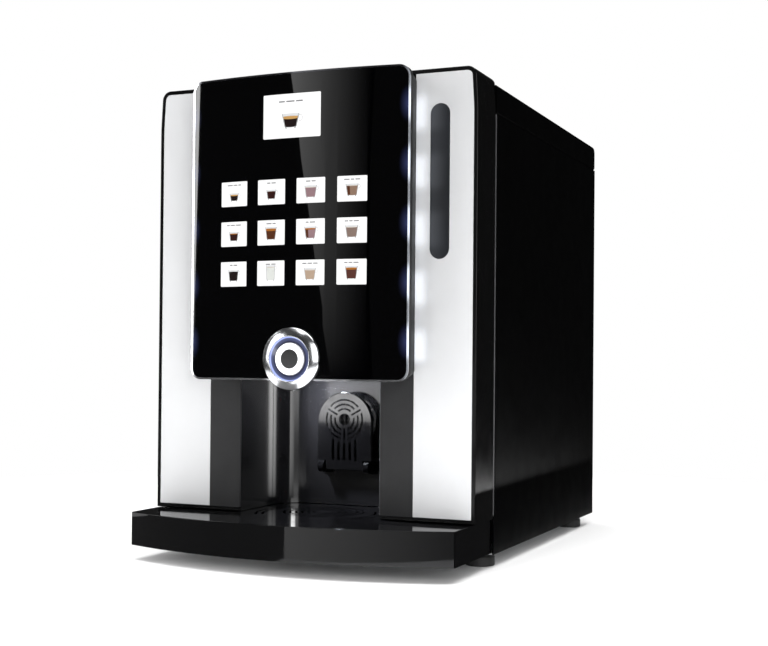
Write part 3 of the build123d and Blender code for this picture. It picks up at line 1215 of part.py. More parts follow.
def grinder_body():
    """Grinder housing with a room for the burrs and its neck up to the hopper."""
    x, y = OUTLET_AT
    z0, z1 = GRINDER_Z
    room_radius, room_low, room_high = BURR_ROOM
    seat_low, seat_high = SHAFT_SEAT_Z
    body = rod_z(GRINDER_RADIUS, z0, z1, x, y)
    body = fillet(body.edges().group_by(Axis.Z)[0], GRINDER_ROUND)
    body += rod_z(NECK_RADIUS, z1, HOPPER_Z[0] - SHUTTER_LIP, x, y)
    body -= rod_z(THROAT_RADIUS, z1 - THROAT_DEPTH, HOPPER_Z[0], x, y)
    body -= rod_z(room_radius, z0 + room_low, z1 - room_high, x, y)
    body -= rod_z(BURR_SHAFT_RADIUS + FIT, z0 + seat_low, z0 + seat_high, x, y)
    return body


def grinder_burr():
    """Rotating lower burr on its shaft."""
    x, y = OUTLET_AT
    z0 = GRINDER_Z[0]
    low, high = (z0 + level for level in BURR_Z)
    bottom_radius, top_radius, cone_height = BURR_CONE
    burr = rod_z(BURR_RADIUS, low, high, x, y)
    burr += Pos(x, y, high + cone_height / 2) * Cone(bottom_radius, top_radius, cone_height)
    burr += rod_z(BURR_SHAFT_RADIUS, z0 + SHAFT_SEAT_Z[0] + EXTRA, low + EXTRA, x, y)
    inner, outer, half, depth = BURR_SLOT
    for index in range(BURR_SLOTS):
        slot = block(inner, outer, -half, half, high - depth, high + EXTRA)
        burr -= Pos(x, y, 0) * Rot(0, 0, index * 360 / BURR_SLOTS) * slot
    return burr


def brewer_frame():
    """Brewing group: two cheeks, a chamber bored for the piston, and a cross bar."""
    x, y = BREWER_AT
    z0, z1 = BREWER_Z
    inner, outer = BREWER_CHEEK_X
    chamber_low, chamber_high = (z1 - level for level in CHAMBER_Z)
    bar_half, bar_height = BREWER_BAR
    frame = block(x - inner, x + inner, y - CHAMBER_HALF_Y, y + CHAMBER_HALF_Y, chamber_low, chamber_high)
    frame += block(x - inner, x + inner, y - bar_half, y + bar_half, z0, z0 + bar_height)
    for x0, x1 in ((x - outer, x - inner), (x + inner, x + outer)):
        frame += block(x0, x1, y - BREWER_CHEEK_Y, y + BREWER_CHEEK_Y, z0, z1)
    frame -= rod_z(PISTON_RADIUS + FIT, chamber_low - EXTRA, chamber_high + EXTRA, x, y)
    frame -= rod_z(PISTON_ROD_RADIUS + FIT, z0 - EXTRA, z0 + bar_height + EXTRA, x, y)
    return frame


def brew_piston():
    """Piston that presses the coffee cake, on its screw rod."""
    x, y = BREWER_AT
    z0, z1 = BREWER_Z
    low, high = (z1 - level for level in PISTON_Z)
    piston = rod_z(PISTON_RADIUS, low, high, x, y)
    return piston + rod_z(PISTON_ROD_RADIUS, z0 - PISTON_ROD_DROP, low, x, y)


def brewer_motor():
    """Gear motor that drives the brewing group."""
    x, y = BREWER_AT
    half = GEARBOX_HALF_W
    front, back = GEARBOX_Y
    middle_z = sum(GEARBOX_Z) / 2
    radius, end_x, shaft_y = GEARBOX_SHAFT
    motor = block(x - half, x + half, y + front, y + back, *GEARBOX_Z)
    motor += rod_y(BREWER_MOTOR_RADIUS, y + back, BULKHEAD_Y - EXTRA, x, middle_z)
    return motor + rod_x(radius, x + half, x + end_x, y + shaft_y, middle_z)


def waste_bin():
    """Open bin for the spent coffee, with a finger grip in front."""
    x0, x1 = BIN_X
    y0, y1 = BIN_Y
    z0, z1 = CHASSIS_Z[1], BIN_TOP_Z
    wall = BIN_WALL
    bin_box = block(x0, x1, y0, y1, z0, z1)
    bin_box = fillet(bin_box.edges().filter_by(Axis.Z), BIN_CORNER)
    bin_box -= block(x0 + wall, x1 - wall, y0 + wall, y1 - wall, z0 + wall, z1 + EXTRA)
    grip_x0, grip_x1, reach, thick = BIN_GRIP
    return bin_box + block(grip_x0, grip_x1, y0 - reach, y0, z1 - 2 * thick, z1 - thick)


def mixing_bowls():
    """Two whipping bowls: a funnel over a short chamber with a front spout."""
    z0 = BOWL_Z
    axis_z = z0 + CHAMBER_AXIS_Z
    low_radius, high_radius = BOWL_RADII
    radius, half = WHIP_CHAMBER
    wall = BOWL_WALL
    room = half - WHIP_CHAMBER_WALL
    spout_radius, spout_bore, spout_rise = BOWL_SPOUT
    spout_y0, spout_y1 = (BOWL_Y - reach for reach in BOWL_SPOUT_Y)
    bowls = None
    for x in CANISTER_X.values():
        bowl = Pos(x, BOWL_Y, z0 + BOWL_CONE_Z) * Cone(low_radius, high_radius, BOWL_HEIGHT)
        bowl += rod_y(radius, BOWL_Y - half, BOWL_Y + half, x, axis_z)
        hollow = Cone(low_radius - wall, high_radius - wall, BOWL_HEIGHT)
        bowl -= Pos(x, BOWL_Y, z0 + BOWL_CONE_Z + wall) * hollow
        bowl -= rod_y(radius - WHIP_CHAMBER_WALL, BOWL_Y - room, BOWL_Y + room, x, axis_z)
        bowl -= rod_y(SHAFT_RADIUS + SHAFT_PLAY, BOWL_Y + room - EXTRA, BOWL_Y + half + EXTRA, x, axis_z)
        bowl += rod_y(spout_radius, spout_y0, spout_y1, x, z0 + spout_rise)
        bowl -= rod_y(spout_bore, spout_y0 - EXTRA, BOWL_Y - room + EXTRA, x, z0 + spout_rise)
        bowls = bowl if bowls is None else bowls + bowl
    return bowls


def whipper(name):
    """Whipper disc with its blades on the motor shaft."""
    x = CANISTER_X[name]
    z = BOWL_Z + CHAMBER_AXIS_Z
    disc_front, disc_back = (BOWL_Y + reach for reach in WHIPPER_DISC_Y)
    inner, outer, forward, half = WHIPPER_BLADE
    disc = rod_y(WHIPPER_RADIUS, disc_front, disc_back, x, z)
    for index in range(WHIPPER_BLADES):
        angle = WHIPPER_START_DEG + index * 360 / WHIPPER_BLADES
        blade = block(inner, outer, BOWL_Y - forward, disc_front, -half, half)
        disc += Pos(x, 0, z) * Rot(0, angle, 0) * blade
    return disc + rod_y(SHAFT_RADIUS, disc_back, MOTOR_FACE_Y - EXTRA, x, z)


def dosing_motors():
    """Auger motors above, whipper motors below, each with its mounting plate."""
    places = ((CANISTER_Y[1] + AUGER_MOTOR_GAP, AUGER_Z, AUGER_MOTOR_RADIUS),
              (MOTOR_FACE_Y, BOWL_Z + CHAMBER_AXIS_Z, WHIPPER_MOTOR_RADIUS))
    aside, thick, short = MOTOR_PLATE
    motors = None
    for x in CANISTER_X.values():
        for face_y, z, radius in places:
            half = radius + aside
            motor = block(x - half, x + half, face_y, face_y + thick, z - radius + short, z + radius)
            motor += rod_y(radius - EXTRA, face_y + thick, face_y + MOTOR_LENGTH, x, z)
            motors = motor if motors is None else motors + motor
    return motors


# --- fasteners --------------------------------------------------------------------------
def cabinet_screws():
    """Button-head screws that hold the rear panel."""
    face = REAR_PANEL_Y + SHEET
    radius, height, rounding = SCREW_HEAD
    recess_radius, recess_y = SCREW_RECESS
    screws = None
    for x in (-SCREW_X, SCREW_X):
        for z in SCREW_Z:
            screw = rod_y(radius, face, face + height, x, z)
            screw = fillet(screw.edges().group_by(Axis.Y)[-1], rounding)
            screw -= rod_y(recess_radius, face + recess_y, face + height + EXTRA, x, z)
            screws = screw if screws is None else screws + screw
    return screws


PARTS = {
    "chassis_base": chassis_base,
    "left_side_panel": lambda: side_panel(-1),
    "right_side_panel": lambda: side_panel(1),
    "rear_panel": rear_panel,
    "top_lid": top_lid,
    "levelling_feet": levelling_feet,
    "bulkhead": bulkhead,
    "canister_deck": canister_deck,
    "cabinet_hinge_leaf": lambda: hinge_leaf(0, CABINET_FRONT_Y, CABINET_FRONT_Y + LEAF_THICKNESS),
    "hinge_pin": hinge_pin,
    "base_housing": base_housing,
    "drip_tray": drip_tray,
    "drip_grille": drip_grille,
    "tray_float": tray_float,
    "inlet_valve": inlet_valve,
    "mains_inlet": mains_inlet,
    "boiler": boiler,
    "water_pump": water_pump,
    "power_supply": power_supply,
    "control_board": control_board,
    "water_hoses": water_hoses,
    "milk_canister": lambda: canister("milk"),
    "chocolate_canister": lambda: canister("chocolate"),
    "milk_auger": lambda: auger("milk"),
    "chocolate_auger": lambda: auger("chocolate"),
    "bean_hopper": bean_hopper,
    "hopper_shutter": hopper_shutter,
    "grinder_body": grinder_body,
    "grinder_burr": grinder_burr,
    "brewer_frame": brewer_frame,
    "brew_piston": brew_piston,
    "brewer_motor": brewer_motor,
    "waste_bin": waste_bin,
    "mixing_bowls": mixing_bowls,
    "milk_whipper": lambda: whipper("milk"),
    "chocolate_whipper": lambda: whipper("chocolate"),
    "dosing_motors": dosing_motors,
    "cabinet_screws": cabinet_screws,
    "door_frame": door_frame,
    "left_light_panel": lambda: light_panel(-1),
    "right_light_panel": lambda: light_panel(1),
    "payment_cover": payment_cover,
    "bay_columns": bay_columns,
    "bay_liner": bay_liner,
    "coffee_spout": coffee_spout,
    "door_inner_cover": door_inner_cover,
    "door_hinge_leaf": lambda: hinge_leaf(1, DOOR_REAR_Y - LEAF_THICKNESS, DOOR_REAR_Y),
    "display_housing": display_housing,
    "display_bezel": display_bezel,
    "display_glass": display_glass,
    "drink_keys": drink_keys,
    "screen_module": screen_module,
    "button_bezel": button_bezel,
    "button_light_ring": button_light_ring,
    "button_spring": button_spring,
    "start_button": start_button,
    "cup_shelf": cup_shelf,
    "shelf_brackets": shelf_brackets,
    "door_lock": door_lock,
    "lock_hook": lock_hook,
}

os.makedirs("parts", exist_ok=True)
for part_name, make in PARTS.items():
    print(part_name, flush=True)
    save(part_name, make())
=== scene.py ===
"""Looks of the hot coffee vending machine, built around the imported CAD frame.

Metres.  +X to the machine's right, +Y to its back, +Z up, origin on the table.
"""

import json
import math
import random
from collections import namedtuple

import bpy
from mathutils import Matrix, Vector


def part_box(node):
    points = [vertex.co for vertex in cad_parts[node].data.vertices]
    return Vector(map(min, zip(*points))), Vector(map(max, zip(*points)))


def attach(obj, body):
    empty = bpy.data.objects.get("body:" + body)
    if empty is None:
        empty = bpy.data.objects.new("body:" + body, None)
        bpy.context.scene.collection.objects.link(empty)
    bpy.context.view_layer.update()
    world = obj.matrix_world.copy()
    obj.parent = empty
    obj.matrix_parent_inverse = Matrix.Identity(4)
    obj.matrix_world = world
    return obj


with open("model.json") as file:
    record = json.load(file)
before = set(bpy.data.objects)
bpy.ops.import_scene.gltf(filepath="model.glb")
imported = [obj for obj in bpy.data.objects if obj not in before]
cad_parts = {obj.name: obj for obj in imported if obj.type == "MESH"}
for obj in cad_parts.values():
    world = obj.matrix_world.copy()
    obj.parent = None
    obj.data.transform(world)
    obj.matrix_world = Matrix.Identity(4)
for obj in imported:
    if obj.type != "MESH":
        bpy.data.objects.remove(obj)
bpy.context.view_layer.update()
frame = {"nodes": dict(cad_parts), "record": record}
nodes = frame["nodes"]

# --- places taken from the frame ------------------------------------------------------
GLASS_LOW, GLASS_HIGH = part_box("display_glass")
BEZEL_LOW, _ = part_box("display_bezel")
KEYS_LOW, KEYS_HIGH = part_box("drink_keys")
SCREEN_LOW, SCREEN_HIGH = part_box("screen_module")
CAP_LOW, CAP_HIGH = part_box("start_button")
PANEL_LOW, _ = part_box("right_light_panel")
HOPPER_LOW, HOPPER_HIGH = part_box("bean_hopper")
COVER_WINDOW_LOW, COVER_WINDOW_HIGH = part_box("payment_cover")

MM = 0.001
BOW_RADIUS = 0.957                # bow of the display, about an upright line
GLASS_FRONT = GLASS_LOW.y
KEY_SIZE = (0.0352, 0.0282)
KEY_COLUMNS = 4
KEY_ROWS = 3
BUTTON_AXIS_Z = (CAP_LOW.z + CAP_HIGH.z) / 2
LED_COUNT = 5                     # lamps behind each upright edge of the display
LED_PITCH = 0.0652
LED_LOWEST_Z = 0.2555
LED_SPILL_DROP = 0.0050           # the light lands this much lower on the panel
LAYER = 0.00006                   # step between printed layers
random.seed(7)


# --- materials ------------------------------------------------------------------------
class Surface:
    """A principled material, with helpers that add to its node tree."""

    def __init__(self, name, colour, roughness, metallic=0.0, **sockets):
        self.material = bpy.data.materials.new(name)
        self.material.use_nodes = True
        self.nodes = self.material.node_tree.nodes
        self.links = self.material.node_tree.links
        self.shader = self.nodes["Principled BSDF"]
        self.colour = colour
        self.shader.inputs["Base Color"].default_value = (*colour, 1)
        self.shader.inputs["Roughness"].default_value = roughness
        self.shader.inputs["Metallic"].default_value = metallic
        for socket, value in sockets.items():
            self.shader.inputs[socket.replace("_", " ")].default_value = value
        self.roughness = roughness
        self.coordinates = self.nodes.new("ShaderNodeTexCoord").outputs["Object"]

    def stretched(self, scale):
        mapping = self.nodes.new("ShaderNodeMapping")
        mapping.inputs["Scale"].default_value = scale
        self.links.new(self.coordinates, mapping.inputs["Vector"])
        return mapping.outputs["Vector"]

    def noise(self, scale, detail=2.0, stretch=None):
        noise = self.nodes.new("ShaderNodeTexNoise")
        noise.inputs["Scale"].default_value = scale
        noise.inputs["Detail"].default_value = detail
        vector = self.stretched(stretch) if stretch else self.coordinates
        self.links.new(vector, noise.inputs["Vector"])
        return noise.outputs["Fac"]

    def ranged(self, value, low, high, out_low, out_high, smooth=False):
        node = self.nodes.new("ShaderNodeMapRange")
        if smooth:
            node.interpolation_type = "SMOOTHSTEP"
        node.inputs["From Min"].default_value = low
        node.inputs["From Max"].default_value = high
        node.inputs["To Min"].default_value = out_low
        node.inputs["To Max"].default_value = out_high
        self.links.new(value, node.inputs["Value"])
        return node.outputs["Result"]

    def math(self, operation, first, second=None):
        node = self.nodes.new("ShaderNodeMath")
        node.operation = operation
        for socket, value in zip(node.inputs, (first, second)):
            if value is None:
                continue
            if isinstance(value, (int, float)):
                socket.default_value = value
            else:
                self.links.new(value, socket)
        return node.outputs["Value"]

    def blend(self, factor, first, second):
        node = self.nodes.new("ShaderNodeMix")
        node.data_type = "RGBA"
        self.links.new(factor, node.inputs["Factor"])
        for socket, value in ((node.inputs["A"], first), (node.inputs["B"], second)):
            if isinstance(value, tuple):
                socket.default_value = (*value, 1)
            else:
                self.links.new(value, socket)
        return node.outputs["Result"]

    def axes(self):
        split = self.nodes.new("ShaderNodeSeparateXYZ")
        self.links.new(self.coordinates, split.inputs["Vector"])
        return split.outputs

    def mottled(self, amount, scale, stretch=None):
        """The colour varies a little over the surface."""
        factor = self.ranged(self.noise(scale, 3.0, stretch), 0.3, 0.7, 0.0, 1.0)
        dark = tuple(c * (1 - amount) for c in self.colour)
        light = tuple(min(1.0, c * (1 + amount)) for c in self.colour)
        self.links.new(self.blend(factor, dark, light), self.shader.inputs["Base Color"])
        return self

    def worn(self, amount, scale, stretch=None):
        """The roughness varies, as with handling and wiping."""
        low = max(0.0, self.roughness - amount)
        high = self.roughness + amount
        factor = self.ranged(self.noise(scale, 4.0, stretch), 0.3, 0.7, low, high)
        self.links.new(factor, self.shader.inputs["Roughness"])
        return self

    def grained(self, strength, scale, stretch=None, distance=0.0002):
        """Fine relief of the surface."""
        bump = self.nodes.new("ShaderNodeBump")
        bump.inputs["Strength"].default_value = strength
        bump.inputs["Distance"].default_value = distance
        self.links.new(self.noise(scale, 2.0, stretch), bump.inputs["Height"])
        self.links.new(bump.outputs["Normal"], self.shader.inputs["Normal"])
        return self

    def led_range(self, z):
        """1 along the column of lamps, 0 beyond its ends."""
        near, far = 0.016, 0.032
        top = LED_LOWEST_Z + LED_PITCH * (LED_COUNT - 1)
        low = self.ranged(z, LED_LOWEST_Z - far, LED_LOWEST_Z - near, 0.0, 1.0)
        high = self.ranged(z, top + near, top + far, 1.0, 0.0)
        return self.math("MULTIPLY", low, high)

    def led_spots(self, drop, dark, bright):
        """1 beside each lamp behind the display's edge, falling to 0 between them.

        A cosine along the column is 1 at a lamp and -1 half way to the next; dark and
        bright are its values where a spot ends and where it is full.
        """
        z = self.axes()["Z"]
        above = self.math("SUBTRACT", z, LED_LOWEST_Z - drop)
        turns = self.math("MULTIPLY", above, 2 * math.pi / LED_PITCH)
        spots = self.ranged(self.math("COSINE", turns), dark, bright, 0.0, 1.0, smooth=True)
        return self.math("MULTIPLY", spots, self.led_range(z))

    def led_halo(self, edge_x, reach_x, reach_z):
        """A round halo about each lamp, fading over the given reaches."""
        falloff = 1.6
        axes = self.axes()
        pitches = self.math("DIVIDE", self.math("SUBTRACT", axes["Z"], LED_LOWEST_Z), LED_PITCH)
        away = self.math("SUBTRACT", pitches, self.math("ROUND", pitches))
        up = self.math("POWER", self.math("MULTIPLY", away, LED_PITCH / reach_z), 2)
        inward = self.math("SUBTRACT", self.math("ABSOLUTE", axes["X"]), edge_x)
        across = self.math("POWER", self.math("DIVIDE", inward, reach_x), 2)
        distance = self.math("SQRT", self.math("ADD", up, across))
        halo = self.math("POWER", self.ranged(distance, 0.0, 1.0, 1.0, 0.0), falloff)
        return self.math("MULTIPLY", halo, self.led_range(axes["Z"]))

    def glow(self, strength, colour):
        """Light of the given colour, whose strength comes from a node."""
        self.shader.inputs["Emission Color"].default_value = (*colour, 1)
        self.links.new(strength, self.shader.inputs["Emission Strength"])
        return self


def black_steel():
    s = Surface("black_powder_coat", (0.0007, 0.0007, 0.0008), 0.36, Specular_IOR_Level=0.04)
    return s.mottled(0.2, 14).worn(0.05, 30).grained(0.10, 1400)


def zinc_steel():
    s = Surface("zinc_sheet", (0.52, 0.53, 0.54), 0.38, metallic=0.9)
    return s.mottled(0.12, 25).worn(0.10, 60).grained(0.08, 500, (1, 1, 0.1))


def charcoal_plastic():
    s = Surface("charcoal_moulding", (0.024, 0.024, 0.025), 0.45, Specular_IOR_Level=0.3)
    return s.mottled(0.12, 40).worn(0.05, 90).grained(0.12, 2600)


def black_gloss():
    s = Surface("piano_black", (0.0016, 0.0016, 0.0018), 0.06, Specular_IOR_Level=0.26)
    return s.mottled(0.2, 10).worn(0.03, 35)


def door_black():
    """Moulded door frame: satin black."""
    s = Surface("satin_black_moulding", (0.0010, 0.0010, 0.0011), 0.20, Specular_IOR_Level=0.35)
    return s.mottled(0.2, 20).worn(0.05, 40).grained(0.06, 2400)


def liner_black():
    """Bay liner: soft black under a clear coat that draws light out into streaks."""
    s = Surface("bay_liner_black", (0.0025, 0.0025, 0.0028), 0.42, Specular_IOR_Level=0.04,
                Coat_Weight=1.0, Coat_Roughness=0.14, Coat_IOR=1.5)
    return s.mottled(0.2, 12).worn(0.04, 25).grained(0.03, 1800)


def shelf_black():
    """Cup shelf: glossy moulding with softly rounded slots."""
    s = Surface("shelf_black", (0.0006, 0.0006, 0.0007), 0.10, Specular_IOR_Level=0.6)
    return s.mottled(0.2, 40).worn(0.03, 60)


def grille_black():
    """Drip grille: wet-looking black with fine sparkle."""
    s = Surface("grille_black", (0.0012, 0.0012, 0.0014), 0.08, Specular_IOR_Level=0.9)
    return s.mottled(0.2, 40).worn(0.05, 60).grained(0.45, 280)


def black_plastic():
    s = Surface("black_moulding", (0.016, 0.016, 0.017), 0.40)
    return s.mottled(0.15, 30).worn(0.06, 70).grained(0.12, 2200)


def hinge_steel():
    """Plated hinge, dull and dark."""
    s = Surface("plated_hinge", (0.13, 0.13, 0.135), 0.42, metallic=0.35)
    return s.mottled(0.10, 60).worn(0.08, 120).grained(0.08, 900)


def chrome():
    s = Surface("polished_chrome", (0.86, 0.87, 0.89), 0.05, metallic=1.0)
    return s.mottled(0.03, 60).worn(0.02, 120)


def bezel_chrome():
    """Start button's flared ring, satin-polished: reflections run softly into each other."""
    s = Surface("satin_chrome", (0.80, 0.81, 0.83), 0.19, metallic=1.0)
    return s.mottled(0.03, 60).worn(0.01, 40)


def lit_chrome():
    """The display's chrome line, lit from behind beside each lamp.

    The line runs along the front of the rim; its plating is painted bright at the sides,
    half bright at the bottom and dark at the top as painted highlight and shade, with a
    painted glow at the sides; behind it the rim is black.
    """
    line_full, line_end = 0.0006, 0.0010          # depth behind the display's front
    side_start, side_full = 0.130, 0.1355         # distance from the middle
    bottom_full, bottom_end = 0.003, 0.008        # height above the rim's foot
    s = chrome()
    s.material.name = "lit_chrome_line"
    axes = s.axes()
    square = s.math("POWER", axes["X"], 2)
    inward = s.math("SQRT", s.math("SUBTRACT", BOW_RADIUS ** 2, square))
    front = s.math("SUBTRACT", GLASS_FRONT + BOW_RADIUS, inward)
    depth = s.math("SUBTRACT", axes["Y"], front)
    line = s.ranged(depth, line_full, line_end, 1.0, 0.0)
    side = s.ranged(s.math("ABSOLUTE", axes["X"]), side_start, side_full, 0.0, 1.0)
    bottom = s.ranged(axes["Z"], BEZEL_LOW.z + bottom_full, BEZEL_LOW.z + bottom_end, 0.5, 0.0)
    # painted highlight and shade: plating light at the sides, half light at the bottom, dark at
    # the top
    plating_with_painted_shade = s.blend(s.math("MAXIMUM", side, bottom), (0.10, 0.10, 0.11), s.colour)
    dark = s.blend(line, (0.003, 0.003, 0.0034), plating_with_painted_shade)
    s.links.new(dark, s.shader.inputs["Base Color"])
    s.links.new(s.ranged(line, 0.0, 1.0, 0.0, 0.85), s.shader.inputs["Metallic"])
    s.links.new(s.ranged(line, 0.0, 1.0, 0.6, 0.05), s.shader.inputs["Roughness"])
    # painted glow of the lamps on the line's sides
    lamps = s.math("MULTIPLY", s.led_spots(0.0, -0.8, 0.8), 1.1)
    strength = s.math("MULTIPLY", s.math("ADD", lamps, 0.16), side)
    return s.glow(s.math("MULTIPLY", strength, line), (0.80, 0.87, 1.0))


def stainless():
    s = Surface("satin_stainless", (0.60, 0.60, 0.61), 0.28, metallic=1.0)
    return s.mottled(0.08, 50).worn(0.08, 90, (1, 1, 12)).grained(0.10, 900, (1, 1, 8))


def light_panel():
    """Pale satin front panel with the lamps' light painted on it beside the display, and a
    painted fill lifting the display's shadow along its edge.
    """
    near_full, near_end = 0.0060, 0.0190          # distance from the panel's inner edge
    haze_end = 0.036
    s = Surface("pale_satin_panel", (0.80, 0.805, 0.815), 0.34,
                Coat_Weight=0.15, Coat_Roughness=0.2)
    s.mottled(0.012, 18).worn(0.04, 50).grained(0.05, 2400)
    axes = s.axes()
    side = s.math("SUBTRACT", s.math("ABSOLUTE", axes["X"]), PANEL_LOW.x)
    near = s.ranged(side, near_full, near_end, 1.0, 0.0, smooth=True)
    haze = s.ranged(side, 0.0, haze_end, 0.12, 0.0, smooth=True)
    spots = s.led_spots(LED_SPILL_DROP, -0.9, 0.7)
    # painted fill: a glow along the display's edge that lifts the display's shadow on the panel
    painted_fill_by_edge = s.math("MULTIPLY", s.math("MULTIPLY", near, s.led_range(axes["Z"])), 0.12)
    lamps = s.math("MULTIPLY", spots, s.math("ADD", s.math("MULTIPLY", near, 0.34), haze))
    return s.glow(s.math("ADD", lamps, painted_fill_by_edge), (0.86, 0.91, 1.0))


def black_glass():
    """Back-painted glass with a painted faint blue glow beside the lamps."""
    s = Surface("black_glass", (0.0004, 0.0004, 0.0006), 0.025,
                Coat_Weight=0.6, Coat_Roughness=0.01)
    s.worn(0.008, 12)
    halo = s.led_halo(GLASS_HIGH.x, 0.011, 0.022)
    # painted glow of the lamps on the glass
    return s.glow(s.math("MULTIPLY", halo, 0.16), (0.22, 0.27, 0.75))


def lit_window(name, strength):
    """White window lit from behind, not quite evenly."""
    s = Surface(name, (0.22, 0.22, 0.22), 0.12)
    level = s.ranged(s.noise(30, 1.0), 0.2, 0.8, strength * 0.97, strength * 1.03)
    return s.worn(0.03, 60).glow(level, (1.0, 1.0, 1.0))


def smoked_window():
    """Smoked plastic with the lamps' light spilling over its inner side."""
    s = Surface("smoked_window", (0.012, 0.014, 0.018), 0.16,
                Coat_Weight=0.35, Coat_Roughness=0.06)
    s.mottled(0.35, 16, (1, 1, 0.5)).worn(0.04, 40)
    side = s.math("ABSOLUTE", s.axes()["X"])
    inner = s.ranged(side, COVER_WINDOW_LOW.x, COVER_WINDOW_HIGH.x, 1.0, 0.0, smooth=True)
    lamps = s.math("MULTIPLY", s.led_spots(LED_SPILL_DROP, -0.95, 0.4), 0.035)
    spill = s.math("MULTIPLY", inner, s.math("ADD", lamps, 0.02))
    return s.glow(spill, (0.85, 0.90, 1.0))


def radius_from_button_axis(s):
    """Distance from the button's axis, which runs front to back."""
    axes = s.axes()
    x = s.math("POWER", axes["X"], 2)
    z = s.math("POWER", s.math("SUBTRACT", axes["Z"], BUTTON_AXIS_Z), 2)
    return s.math("SQRT", s.math("ADD", x, z))


def button_face():
    """White lit ring around a dark domed centre."""
    centre_edge, ring_edge = 0.0110, 0.0175       # radii
    soft_centre, soft_ring = 0.0002, 0.0003
    white, dark = (0.9, 0.9, 0.92), (0.012, 0.012, 0.013)
    s = Surface("button_face", white, 0.18, Coat_Weight=0.5, Coat_Roughness=0.05)
    radius = radius_from_button_axis(s)
    ring = s.ranged(radius, centre_edge - soft_centre, centre_edge + soft_centre, 0.0, 1.0)
    s.links.new(s.blend(ring, dark, white), s.shader.inputs["Base Color"])
    s.worn(0.03, 200)
    edge = s.ranged(radius, ring_edge - soft_ring, ring_edge + soft_ring, 1.0, 0.0)
    lit = s.math("MULTIPLY", ring, edge)
    return s.glow(s.math("MULTIPLY", lit, 1.1), (0.97, 0.98, 1.0))


def light_ring():
    """Blue-lit ring that is dark towards the button and bright towards the bezel."""
    body_start, body_full = 0.0185, 0.0228        # radii
    bright_start, bright_full = 0.0232, 0.0245
    s = Surface("blue_light_ring", (0.02, 0.022, 0.05), 0.15,
                Coat_Weight=0.6, Coat_Roughness=0.04)
    radius = radius_from_button_axis(s)
    bright = s.ranged(radius, bright_start, bright_full, 0.0, 1.1, smooth=True)
    body = s.ranged(radius, body_start, body_full, 0.0, 0.16, smooth=True)
    s.worn(0.03, 200)
    return s.glow(s.math("ADD", bright, body), (0.42, 0.50, 1.0))


def foot_rubber():
    s = Surface("foot_rubber", (0.014, 0.014, 0.014), 0.62)
    return s.mottled(0.2, 80).grained(0.3, 1500)


def float_red():
    return Surface("red_float", (0.50, 0.02, 0.02), 0.30).mottled(0.1, 90).worn(0.05, 120)


def hopper_plastic():
    s = Surface("smoked_clear_plastic", (0.40, 0.41, 0.42), 0.12,
                Transmission_Weight=0.75, IOR=1.5)
    return s.mottled(0.05, 20).worn(0.04, 50)


def white_plastic():
    s = Surface("food_grade_white", (0.74, 0.74, 0.72), 0.38)
    return s.mottled(0.03, 20).worn(0.06, 60).grained(0.06, 1800)


def foam_jacket():
    s = Surface("insulation_jacket", (0.045, 0.045, 0.05), 0.85)
    return s.mottled(0.3, 90).grained(0.6, 500, distance=0.0006)


def aluminium():
    s = Surface("cast_aluminium", (0.58, 0.58, 0.59), 0.42, metallic=1.0)
    return s.mottled(0.08, 60).worn(0.08, 90).grained(0.25, 700)


def circuit_green():
    s = Surface("solder_mask", (0.012, 0.10, 0.035), 0.30, Coat_Weight=0.3, Coat_Roughness=0.1)
    return s.mottled(0.35, 260, (1, 1, 4)).grained(0.3, 420, (1, 1, 5))


def silicone_hose():
    s = Surface("silicone_hose", (0.62, 0.63, 0.60), 0.35, Subsurface_Weight=0.2)
    return s.mottled(0.06, 40).worn(0.05, 90)


def motor_body():
    s = Surface("motor_enamel", (0.06, 0.06, 0.065), 0.35, metallic=0.3)
    return s.mottled(0.15, 70).worn(0.08, 90).grained(0.1, 900)


SLOT_SURFACES = {
    "black_steel": black_steel(),
    "zinc_steel": zinc_steel(),
    "charcoal_plastic": charcoal_plastic(),
    "light_panel": light_panel(),
    "black_gloss": black_gloss(),
    "black_glass": black_glass(),
    "chrome": chrome(),
    "stainless": stainless(),
    "key_window": lit_window("key_window", 0.84),
    "screen": lit_window("screen_window", 0.88),
    "smoked_window": smoked_window(),
    "light_guide": light_ring(),
    "button_face": button_face(),
    "foot_rubber": foot_rubber(),
    "float_red": float_red(),
    "hopper_clear": hopper_plastic(),
    "white_plastic": white_plastic(),
    "black_plastic": black_plastic(),
    "boiler_foam": foam_jacket(),
    "aluminium": aluminium(),
    "circuit_green": circuit_green(),
    "silicone_hose": silicone_hose(),
    "motor_body": motor_body(),
}
# nodes whose finish differs from the rest of their slot
NODE_SURFACES = {
    "display_bezel": lit_chrome(),
    "door_frame": door_black(),
    "bay_liner": liner_black(),
    "cup_shelf": shelf_black(),
    "drip_grille": grille_black(),
    "button_bezel": bezel_chrome(),
    "display_housing": black_steel(),
    "shelf_brackets": black_steel(),
    "cabinet_hinge_leaf": hinge_steel(),
    "door_hinge_leaf": hinge_steel(),
}


def dress_cad_nodes():
    """Give every CAD node its finish."""
    for entry in frame["record"]["subparts"]:
        surface = NODE_SURFACES.get(entry["node"], SLOT_SURFACES[entry["material_slot"]])
        for material_slot in nodes[entry["node"]].material_slots:
            material_slot.material = surface.material


